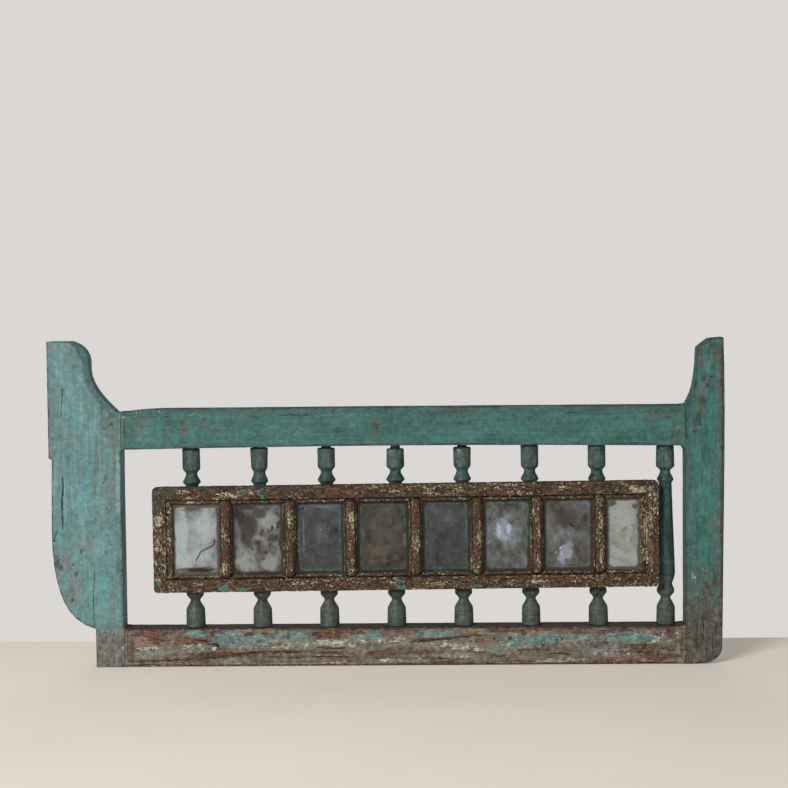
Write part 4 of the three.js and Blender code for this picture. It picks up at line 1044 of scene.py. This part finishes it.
BALUSTER_MARKS = {
    "mauve": [
        (196, 600, 6, 5, 0.5), (263, 612, 8, 8, 0.5), (331, 612, 8, 8, 0.5), (396, 614, 8, 8, 0.5),
        (464, 614, 8, 8, 0.6), (530, 612, 8, 9, 0.8), (598, 612, 8, 9, 0.7), (665, 612, 8, 9, 0.6),
        (461, 459, 4, 8, 0.6), (192, 460, 4, 8, 0.4),
    ],
    "pale": [
        (189, 460, 3, 10, 0.6), (256, 458, 3, 8, 0.4), (193, 612, 4, 6, 0.5), (394, 460, 3, 8, 0.5),
        (326, 460, 3, 8, 0.3), (596, 462, 4, 6, 0.5), (663, 464, 3, 6, 0.5), (589, 596, 4, 6, 1.0),
        (664, 540, 4, 40, 0.5),
    ],
    "stain": [
        (394, 458, 5, 9, 0.6), (529, 460, 5, 10, 0.5), (189, 466, 4, 5, 0.5), (465, 452, 3, 4, 0.9),
        (536, 616, 4, 4, 0.9), (264, 602, 5, 3, 0.5), (598, 620, 5, 3, 0.6), (665, 620, 5, 3, 0.6),
        (594, 455, 3, 4, 0.5),
    ],
    "wood": [
        (534, 620, 4, 3, 0.8), (465, 451, 1.6, 1.6, 0.6), (528, 612, 3, 6, 0.35), (598, 614, 5, 6, 0.3),
    ],
    "cream_and_reflection": [
        (261, 594.6, 1.6, 0.9), (458, 450.5, 1.2, 1.0), (591, 604, 1, 1, 0.8), (400, 470, 0.8, 0.8, 0.8),
    ],
    # Painted shadow: a dark band across the top of each baluster, just under the top rail.
    "grime_and_shade": [
        (600, 450, 10, 1.6, 0.6), (191, 450, 10, 1.6, 0.6), (666, 450, 10, 1.6, 0.6),
        (461, 448.5, 9, 1.4, 0.6),
    ],
    "holes": [
        (527.5, 616, 1.8, 2.0), (597, 597, 2.2, 2.4), (594, 600, 1.8, 2), (589.4, 604.7, 2.0, 2.2),
        (673, 604, 2.0, 2.2), (453.5, 451, 2.4, 2.6), (602, 474, 1.4, 1.2),
    ],
    "cracks": [
        (1.8, 1.2, [(590, 478), (596, 473)]), (3.4, 3.0, [(601, 590), (596, 597), (590, 602)]),
        (1.4, 1.0, [(256, 602.5), (270, 602.2)]), (1.2, 0.8, [(664, 456), (664.4, 470)]),
    ],
}


# Pieces

PALE_PAINT = [(78, 101, 100), (90, 121, 120), (96, 132, 131), (105, 142, 141), (123, 155, 154)]
TEAL_PAINT = [(42, 76, 72), (53, 93, 87), (61, 104, 97), (68, 113, 105), (84, 128, 120)]
LOW_PAINT = [(54, 42, 34), (85, 72, 60), (105, 93, 80), (120, 110, 97), (143, 137, 123)]
TURNED_PAINT = [(30, 48, 45), (42, 65, 60), (52, 78, 73), (63, 91, 86), (84, 113, 107)]

PALE_LAYERS = {
    "pale": (0.62, (110, 138, 138), (124, 152, 152), (138, 164, 165)),
    "bright": (0.60, (80, 134, 133), (90, 146, 145), (102, 158, 156)),
    "mauve": (0.60, (94, 106, 104), (110, 118, 115), (126, 130, 126)),
    "stain": (0.63, (78, 86, 76), (94, 101, 90), (110, 115, 104)),
    "wood": (0.70, (70, 62, 56), (98, 90, 83), (117, 109, 102), (134, 128, 120)),
    "cream_and_reflection": (0.94, (160, 172, 166), (200, 206, 198), (226, 228, 220)),
    "grime_and_shade": (0.66, (46, 54, 51), (64, 75, 72), (84, 96, 92)),
}
TEAL_LAYERS = {
    "pale": (0.62, (72, 108, 106), (84, 122, 120), (100, 136, 134)),
    "bright": (0.60, (48, 106, 97), (57, 118, 107), (68, 130, 119)),
    "mauve": (0.62, (76, 84, 78), (92, 95, 88), (108, 106, 98)),
    "stain": (0.63, (64, 68, 57), (82, 82, 69), (98, 93, 78)),
    "wood": (0.72, (54, 47, 39), (76, 68, 58), (96, 87, 76), (118, 110, 99)),
    "cream_and_reflection": (0.95, (150, 162, 154), (192, 198, 190), (220, 222, 216)),
    "grime_and_shade": (0.66, (28, 38, 35), (40, 53, 49), (54, 70, 65)),
}
LOW_LAYERS = {
    "pale": (0.62, (92, 106, 97), (114, 126, 115), (140, 150, 138)),
    "bright": (0.80, (54, 86, 94), (76, 114, 118), (98, 140, 136), (122, 162, 154)),
    "mauve": (0.58, (104, 82, 72), (132, 108, 95), (154, 132, 118)),
    "stain": (0.72, (62, 52, 42), (84, 72, 58), (104, 92, 76)),
    "wood": (0.80, (54, 34, 26), (84, 52, 40), (112, 72, 56), (146, 106, 84)),
    "cream_and_reflection": (0.83, (118, 118, 98), (152, 152, 132), (184, 186, 168), (214, 218, 208)),
    "grime_and_shade": (0.72, (30, 25, 20), (46, 40, 33), (64, 59, 50)),
}
TURNED_LAYERS = {
    "pale": (0.64, (72, 92, 90), (88, 108, 105), (104, 124, 121)),
    "mauve": (0.62, (66, 67, 62), (82, 82, 75), (102, 101, 93)),
    "stain": (0.66, (56, 56, 46), (74, 71, 60), (92, 87, 74)),
    "wood": (0.76, (56, 46, 38), (80, 66, 55), (104, 88, 75)),
    "cream_and_reflection": (0.90, (160, 166, 158), (196, 200, 192), (216, 218, 212)),
    "grime_and_shade": (0.66, (18, 24, 22), (30, 38, 35), (44, 54, 50)),
}

NAIL_COUNT = 3
NAIL_PAINT = [(36, 52, 50), (56, 84, 80)]
BOARD_PAINT = [(74, 64, 54), (104, 92, 78), (128, 116, 100)]

# How far apart the points of each mesh lie, and the seed of each kind of piece.
POST_CELL = 2.35
RAIL_CELL = 2.6
MOULDING_CELL = 2.0
PANE_CELL = 3.2
BOARD_CELL = 7
LEFT_POST_SEED = 3
RIGHT_POST_SEED = 9
TOP_RAIL_SEED = 17
BOTTOM_RAIL_SEED = 23
BALUSTER_SEED = 40
BOARD_SEED = 50
MOULDING_SEED = 60
MULLION_SEED = 80
PANE_SEED = 90

# Where the rails meet the posts, and how far from there the wear is whole.
JOINT_REACH = 9
LEFT_JOINT = [(120.6, 430), (125.8, 648)]
RIGHT_JOINT = [(684.4, 430), (684.8, 645)]
LOW_RAIL_TOP = 87
TOP_RAIL_FOOT = 485
TOP_RAIL_CREST = 580


def joint_distance(points, joint):
    """How far each point lies along X from where a rail meets a post; far from it between the rails."""
    (x_top, z_top), (x_low, z_low) = (seen(*place, RAIL_FRONT) for place in joint)
    x = x_low + (x_top - x_low) * (points[:, 2] - z_low) / (z_top - z_low)
    between = (points[:, 2] > LOW_RAIL_TOP) & (points[:, 2] < TOP_RAIL_FOOT)
    return np.where(between | (points[:, 2] > TOP_RAIL_CREST), JOINT_REACH, np.abs(points[:, 0] - x))


def plank(node, grain, seed, depth, cell, marks, joints, wear=1.0):
    """A board with worn arrises, a wavering face and long grain; joints are where its ends meet others."""
    mesh = remeshed(node, cell)
    refined(mesh, depth, marks.get("cracks", ()), marks.get("holes", ()))
    relief = Relief(mesh, seed, depth)
    relief.soften(0.35)
    arris = np.clip(relief.arris(2) / 0.25, 0, 1)
    free = np.ones(len(arris))
    for joint in joints:
        free = np.minimum(free, smooth_step(joint_distance(relief.rest, joint), 2, JOINT_REACH))
    arris = arris * free
    ragged = relief.ragged(along(grain, 45, 12), 1)
    relief.push(arris * (0.1 + ragged ** 2) * wear)
    relief.waver(0.4, along(grain, 160, 30), 2, 2)
    relief.waver(0.2, along(grain, 60, 5), 3)
    relief.waver(0.12, (7, 7, 7), 4)
    relief.co = relief.rest + (relief.co - relief.rest) * (0.15 + 0.85 * free[:, None])
    relief.add("grime_and_shade", np.clip(arris * (0.3 + 0.7 * ragged), 0, 1) * wear)
    relief.add("wood", np.clip(arris * 1.3 * ragged, 0, 1) * wear)
    # Painted shade: front faces that turn to the right, away from the key light, such as the bevel of the
    # post's shoulder, are darkened away from the joints.
    shoulder = smooth_step(relief.normal[:, 0], 0.35, 0.8) * smooth_step(-relief.normal[:, 1], 0.1, 0.4)
    relief.add("grime_and_shade", 0.5 * free * shoulder)
    relief.dress(marks)
    return relief


def foot_wear(relief, low, high, strength):
    """Bare, stained wood towards the floor: the paint is gone below one height and whole above the other."""
    height = relief.rest[:, 2] + 30 * relief.noise((22, 22, 70), 5, 4)
    worn = strength * (1 - smooth_step(height, low, high))
    relief.add("mauve", worn)
    relief.add("wood", 0.85 * worn)
    relief.add("stain", 0.5 * worn)


def add_posts():
    left = plank("left_post", "z", LEFT_POST_SEED, POST_FRONT, POST_CELL, LEFT_POST_MARKS, [LEFT_JOINT])
    foot_wear(left, 15, 135, 1.0)
    paint = painted_wood("pale_post_paint", "z", PALE_PAINT, PALE_LAYERS, speckle=0.65, soft=1.6)
    left.write("aged_left_post", "pale_teal_wood", paint, "left_post")

    right = plank(
        "right_post", "z", RIGHT_POST_SEED, POST_FRONT, POST_CELL, RIGHT_POST_MARKS, [RIGHT_JOINT]
    )
    foot_wear(right, 10, 285, 0.9)
    paint = painted_wood("teal_post_paint", "z", TEAL_PAINT, TEAL_LAYERS, speckle=0.7, soft=1.5)
    right.write("aged_right_post", "teal_wood", paint, "right_post")


def add_rails():
    """Both rails, the top one stained and the bottom one darker on the faces that look up."""
    joints = [LEFT_JOINT, RIGHT_JOINT]
    top = plank("top_rail", "x", TOP_RAIL_SEED, RAIL_FRONT, RAIL_CELL, TOP_RAIL_MARKS, joints)
    top.add("stain", 0.55 * smooth_step(top.normal[:, 2], 0.25, 0.7))
    paint = painted_wood("top_rail_paint", "x", TEAL_PAINT, TEAL_LAYERS, speckle=0.55, soft=1.9)
    top.write("aged_top_rail", "teal_wood", paint, "top_rail")

    low = plank("bottom_rail", "x", BOTTOM_RAIL_SEED, RAIL_FRONT, RAIL_CELL, BOTTOM_RAIL_MARKS, joints)
    # The faces that look up are made darker.
    low.add("grime_and_shade", 0.9 * smooth_step(low.normal[:, 2], 0.3, 0.8))
    paint = painted_wood(
        "bottom_rail_paint", "x", LOW_PAINT, LOW_LAYERS,
        streaks=0.6, speckle=1.1, soft=1.2, flakes=1.4, depth=1.0,
    )
    low.write("aged_bottom_rail", "worn_wood", paint, "bottom_rail")


# The balusters: for each one how far it leans, its neck at the top, and its radii; then what they share.
BALUSTER_LEANS = [6, 4, 4.5, 0.5, 2, 2, 3, 1]
TOP_NECKS = [0.5, 1.5, 4, 7, 4.5, 0.5, 0.5, 0.5]
BARREL_TOPS = [20.2, 20.3, 20.0, 19.7, 20.0, 20.2, 20.2, 19.9]
BARREL_FEET = [20.2, 18.6, 20.0, 20.5, 19.6, 20.0, 20.2, 20.9]
NECK_RADII = [13.0, 13.5, 13.0, 12.4, 13.2, 12.8, 13.0, 11.7]
RING_RADII = [20.6, 19.9, 20.8, 21.3, 20.4, 20.6, 20.2, 19.3]
BASE_RADII = [22.0, 21.8, 22.3, 21.6, 22.0, 21.4, 22.2, 21.3]
LEAN_HEIGHT = 400
PEG_LENGTH = 20
FOOT_PEG = 12
TOP_PEG = 9.9
BASE_RADIUS = 22.5
BALUSTER_FOOT = 87.3
RING_STEP = 2.3
BALUSTER_SIDES = 52


def baluster_profile(i, top):
    """Heights and radii up one baluster, from peg to peg."""
    foot = BALUSTER_FOOT
    neck = TOP_NECKS[i]
    barrel_top, barrel_foot = BARREL_TOPS[i], BARREL_FEET[i]
    narrow, ring, base = NECK_RADII[i], RING_RADII[i], BASE_RADII[i]
    shoulder = 1.2 if neck < 1 else 2.4
    collar = 10.6 if neck < 3 else 11.2
    collar_end = 10.6 if neck < 3 else 10.9
    corners = [
        (foot - PEG_LENGTH, FOOT_PEG), (foot - 0.2, FOOT_PEG), (foot, base), (foot + 30, base - 0.4),
        (foot + 31.2, base - 1.3), (foot + 32.6, base - 0.4), (foot + 38, base - 0.8),
        (foot + 42, base - 2), (foot + 56, 11.6), (foot + 60, 11.3), (foot + 70, 19.6), (foot + 76, 20),
        (foot + 79, 19), (foot + 90, 14.7), (foot + 103, 19.9), (foot + 115, 21.7), (top - 84, 14.6),
        (top - 78.6, ring - 1.2), (top - 76.8, ring), (top - 75.2, ring - 0.3),
        (top - 62, narrow + 0.4), (top - 56, narrow), (top - 48.5, barrel_foot - 0.6),
        (top - 46, barrel_foot), (top - neck - 2.2, barrel_top),
        (top - neck - 0.3, barrel_top - shoulder), (top - neck, collar), (top - 0.2, collar_end),
        (top, TOP_PEG), (top + PEG_LENGTH, TOP_PEG),
    ]
    return np.array(corners, float).T


def add_balusters():
    material = painted_wood(
        "baluster_paint", "z", TURNED_PAINT, TURNED_LAYERS,
        streaks=0.6, speckle=0.9, soft=1.5, flakes=0.7, depth=0.6, roughness=0.5,
    )
    for i, lean in enumerate(BALUSTER_LEANS):
        node = f"baluster_{i + 1}"
        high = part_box(node)[1]
        top = high.z / MM - PEG_LENGTH
        foot_x = high.x / MM - BASE_RADIUS
        heights, radii = baluster_profile(i, top)
        rings = [
            np.linspace(low, upper, max(round((upper - low) / RING_STEP), 1), endpoint=False)
            for low, upper in zip(heights, heights[1:])
        ]
        fine = np.concatenate(rings + [heights[-1:]])
        width = np.interp(fine, heights, radii)
        centre = foot_x - lean * (fine - BALUSTER_FOOT) / LEAN_HEIGHT
        mesh = lathe_mesh(node + "_turned", fine, width, BALUSTER_SIDES, centre)
        relief = Relief(mesh, BALUSTER_SEED + i, BALUSTER_FRONT)
        turn = relief.arris(1)
        arris = np.clip(turn / 0.3, 0, 1)
        groove = np.clip(-turn / 0.3, 0, 1)
        ragged = relief.ragged((9, 9, 9), 1)
        relief.push(arris * 0.5 * ragged ** 2)
        relief.waver(0.25, (14, 14, 40), 2)
        relief.waver(0.12, (3, 3, 12), 3, 2)
        relief.add("wood", arris * (ragged - 0.3))
        relief.add("pale", arris * 0.5 * ragged)
        # Painted shade in the hollows of the turning, where the surface turns inwards.
        relief.add("grime_and_shade", 0.7 * groove)
        height = relief.rest[:, 2]
        relief.add("mauve", 0.6 * (1 - smooth_step(height, BALUSTER_FOOT + 90, BALUSTER_FOOT + 130)))
        relief.add("mauve", 0.3 * smooth_step(height, top - 62, top - 48))
        relief.add("pale", 0.4 * smooth_step(height, top - 66, top - 56))
        relief.dress(BALUSTER_MARKS)
        relief.write("aged_" + node, "baluster_wood", material, node)


# The mirror frame: its place and slight turn, its bars, and the groove along each bar. It leans by the first
# length over the height of the second.
FRAME_LEAN = math.atan(0.9 / 208.5)
FRAME_ROLL = math.radians(0.4)
FRAME_CENTRE = (42, -22.115, 291)
FRAME_BUTT = 532
FRAME_RAILS = ("frame_top_rail", "frame_bottom_rail")
FRAME_STILES = ("frame_left_stile", "frame_right_stile")
FRAME_HALF = 561
FIRST_MULLION = 161.8
MULLION_PITCH = 138.3
MULLION_DRIFTS = (0, 4, 1, 7, 5, -1, 0)
MULLION_XS = [FIRST_MULLION + MULLION_PITCH * i + drift - FRAME_HALF for i, drift in enumerate(MULLION_DRIFTS)]
MULLION_RADIUS = 16
MULLION_HALF = 88.7
MULLION_BASE = 14.1
MULLION_SIDES = 64
MULLION_RINGS = 74
MULLION_END_RINGS = 11
MULLION_END_TURN = 89
GROOVE_OFFSET = 11.2
GROOVE_WIDTH = 1.4


def frame_matrix():
    turn = Matrix.Rotation(-FRAME_LEAN, 4, "X") @ Matrix.Rotation(-FRAME_ROLL, 4, "Y")
    return Matrix.Translation([c * MM for c in FRAME_CENTRE]) @ turn


def in_frame(points):
    """Points in millimetres, in the mirror frame's own axes."""
    back = np.array(frame_matrix().inverted())
    return ((points * MM) @ back[:3, :3].T + back[:3, 3]) / MM


def add_moulding():
    """The four sides of the frame, with flaked faces; nothing is worn where they butt together."""
    rail_paint = flaked_frame("frame_rail_paint", "x", 0.815, 0.53)
    stile_paint = flaked_frame("frame_stile_paint", "z", 0.795, greys=0.1)
    for i, node in enumerate(FRAME_RAILS + FRAME_STILES):
        mesh = remeshed(node, MOULDING_CELL)
        refined(mesh, MOULDING_FRONT, (), FRAME_MARKS["holes"])
        relief = Relief(mesh, MOULDING_SEED + i, MOULDING_FRONT)
        relief.soften(0.25)
        turn = relief.arris(1)
        butt = np.abs(np.abs(relief.rest[:, 0] - FRAME_CENTRE[0]) - FRAME_BUTT)
        free = smooth_step(butt, 2, 8)
        arris = np.clip(turn / 0.25, 0, 1) * free
        ragged = relief.ragged((14, 8, 8), 1)
        relief.push(arris * ragged ** 2)
        relief.waver(0.25, (10, 6, 6), 2)
        relief.push(0.7 * free * smooth_step(relief.noise((9, 6, 6), 3), 0.05, 0.2))
        relief.add("cream_and_reflection", 0.4 * arris * ragged)
        # Painted shade: the hollows between the bead, the band and the glass are darkened.
        relief.add("pit_and_shade", 0.7 * free * np.clip(-turn / 0.2, 0, 1) * (0.4 + ragged))
        held = 0.1 + 0.9 * smooth_step(butt, 0, 5)[:, None]
        relief.co = relief.rest + (relief.co - relief.rest) * held
        relief.dress(FRAME_MARKS)
        relief.write("aged_" + node, "frame_wood", rail_paint if node in FRAME_RAILS else stile_paint, node)


def mullion_mesh(name, x):
    """A half-round bar with domed ends and a flat back, turned as the frame is."""
    straight = MULLION_HALF - MULLION_RADIUS
    bend = np.radians(np.linspace(-MULLION_END_TURN, MULLION_END_TURN, 2 * MULLION_END_RINGS + 1))
    low, high = bend[:MULLION_END_RINGS], bend[-MULLION_END_RINGS:]
    heights = np.concatenate([
        MULLION_RADIUS * np.sin(low) - straight,
        np.linspace(-straight, straight, MULLION_RINGS),
        MULLION_RADIUS * np.sin(high) + straight,
    ])
    radii = np.concatenate([
        MULLION_RADIUS * np.cos(low),
        np.full(MULLION_RINGS, float(MULLION_RADIUS)),
        MULLION_RADIUS * np.cos(high),
    ])
    mesh = lathe_mesh(name, heights, radii, MULLION_SIDES, np.full(len(heights), float(x)))
    points = coordinates(mesh)
    points[:, 1] = np.minimum(points[:, 1], 0) - MULLION_BASE * MM
    mesh.vertices.foreach_set("co", points.ravel())
    mesh.transform(frame_matrix())
    return mesh


def add_mullions():
    paint = flaked_frame("mullion_paint", "z", 0.81, 0.5)
    for i, x in enumerate(MULLION_XS):
        node = f"frame_mullion_{i + 1}"
        relief = Relief(mullion_mesh(node + "_turned", x), MULLION_SEED + i, MIRROR_FRONT)
        relief.waver(0.25, (8, 8, 20), 1)
        relief.waver(0.35, (5, 5, 12), 2)
        # A shallow groove along each side, darkened as painted shade where the round of the bar turns away
        # from the front.
        side = np.abs(in_frame(relief.rest)[:, 0] - x) + 0.8 * relief.noise((6, 6, 20), 4, 2)
        groove = np.exp(-((side - GROOVE_OFFSET) / GROOVE_WIDTH) ** 2) * (relief.facing > 0)
        relief.push(0.7 * groove)
        relief.add("pit_and_shade", groove * (0.75 + 0.4 * relief.noise((6, 6, 14), 5, 2)))
        relief.dress(MULLION_MARKS)
        relief.write("aged_" + node, "frame_wood", paint, node)


# The mirrors: each one's silvering, its dark rim, and how strong the line inside that rim is.
PANE_TONES = [
    [(104, 108, 106), (136, 140, 138), (152, 157, 156), (164, 170, 169), (178, 186, 187)],
    [(52, 46, 45), (80, 76, 74), (106, 104, 101), (130, 132, 127), (150, 154, 150)],
    [(46, 48, 47), (60, 63, 62), (70, 73, 73), (79, 83, 82), (94, 100, 98)],
    [(44, 44, 38), (58, 56, 49), (68, 66, 58), (80, 77, 67), (94, 90, 79)],
    [(50, 54, 52), (63, 66, 64), (71, 74, 72), (80, 84, 82), (96, 104, 101)],
    [(62, 62, 58), (82, 82, 77), (102, 102, 98), (122, 125, 125), (150, 160, 176)],
    [(58, 58, 52), (82, 80, 72), (98, 96, 90), (112, 110, 108), (142, 146, 160)],
    [(100, 102, 90), (140, 142, 130), (156, 159, 150), (164, 170, 162), (172, 178, 176)],
]
PANE_GLOOMS = [
    (86, 78, 68), (58, 50, 46), (46, 52, 50), (46, 47, 40),
    (44, 50, 47), (52, 52, 46), (54, 52, 46), (84, 82, 72),
]
PANE_LINES = [0, 0.3, 0.7, 0.5, 0.6, 0.6, 0.5, 0]

# The opening that each mirror shows in, and how far inside its rim the line runs.
OPENING_LEFT = -517
OPENING_RIGHT = 520
OPENING_HALF = 79
CORNER_ROUND = 14
LINE_INSET = 7
LINE_WIDTH = 1.8
RIM_WIDTH = 9


def opening_inset(points, left, right):
    """How far inside the visible opening each point lies, with rounded corners, in the frame's own axes."""
    local = in_frame(points)
    across = np.minimum(local[:, 0] - left, right - local[:, 0])
    upward = OPENING_HALF - np.abs(local[:, 2])
    corner = np.hypot(np.maximum(CORNER_ROUND - across, 0), np.maximum(CORNER_ROUND - upward, 0))
    return np.where(corner > 0, CORNER_ROUND - corner, np.minimum(across, upward))


def add_panes():
    lefts = [OPENING_LEFT] + [x + MULLION_RADIUS for x in MULLION_XS]
    rights = [x - MULLION_RADIUS for x in MULLION_XS] + [OPENING_RIGHT]
    for i, (tones, gloom) in enumerate(zip(PANE_TONES, PANE_GLOOMS)):
        node = f"mirror_pane_{i + 1}"
        mesh = remeshed(node, PANE_CELL)
        refined(mesh, MIRROR_FRONT, PANE_MARKS["cracks"], ())
        relief = Relief(mesh, PANE_SEED + i, MIRROR_FRONT)
        inset = opening_inset(relief.rest, lefts[i], rights[i])
        wander = 3 * relief.noise((12, 12, 12), 4)
        line = np.exp(-((inset + 0.3 * wander - LINE_INSET) / LINE_WIDTH) ** 2)
        # Darker towards the rim of each opening.
        relief.add("grime_and_shade", 1 - smooth_step(inset + wander, 0, RIM_WIDTH))
        relief.add("bright", PANE_LINES[i] * line)
        relief.dress(PANE_MARKS)
        relief.marks["edge"] *= smooth_step(relief.noise((4, 4, 7), 7, 2), -0.35, 0.1)
        paint = aged_mirror(f"mirror_{i + 1}", tones, 20 + 3 * i, gloom)
        relief.write("aged_" + node, "aged_mirror", paint, node)


def add_nails_and_board():
    """The nails stay as packed and get paint; the board behind the mirrors is worn like the other boards."""
    for i in range(NAIL_COUNT):
        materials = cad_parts[f"frame_nail_{i + 1}"].data.materials
        materials.clear()
        materials.append(painted_wood(f"nail_{i + 1}", "z", NAIL_PAINT, TURNED_LAYERS))
    board = plank("mirror_backboard", "x", BOARD_SEED, MIRROR_FRONT, BOARD_CELL, {}, [], 0.6)
    paint = painted_wood("board_wood", "x", BOARD_PAINT, LOW_LAYERS)
    board.write("aged_backboard", "bare_board", paint, "mirror_backboard")


add_camera()
add_world()
add_lights()
scene.view_settings.view_transform = "Standard"
add_floor()
add_posts()
add_rails()
add_balusters()
add_moulding()
add_mullions()
add_panes()
add_nails_and_board()
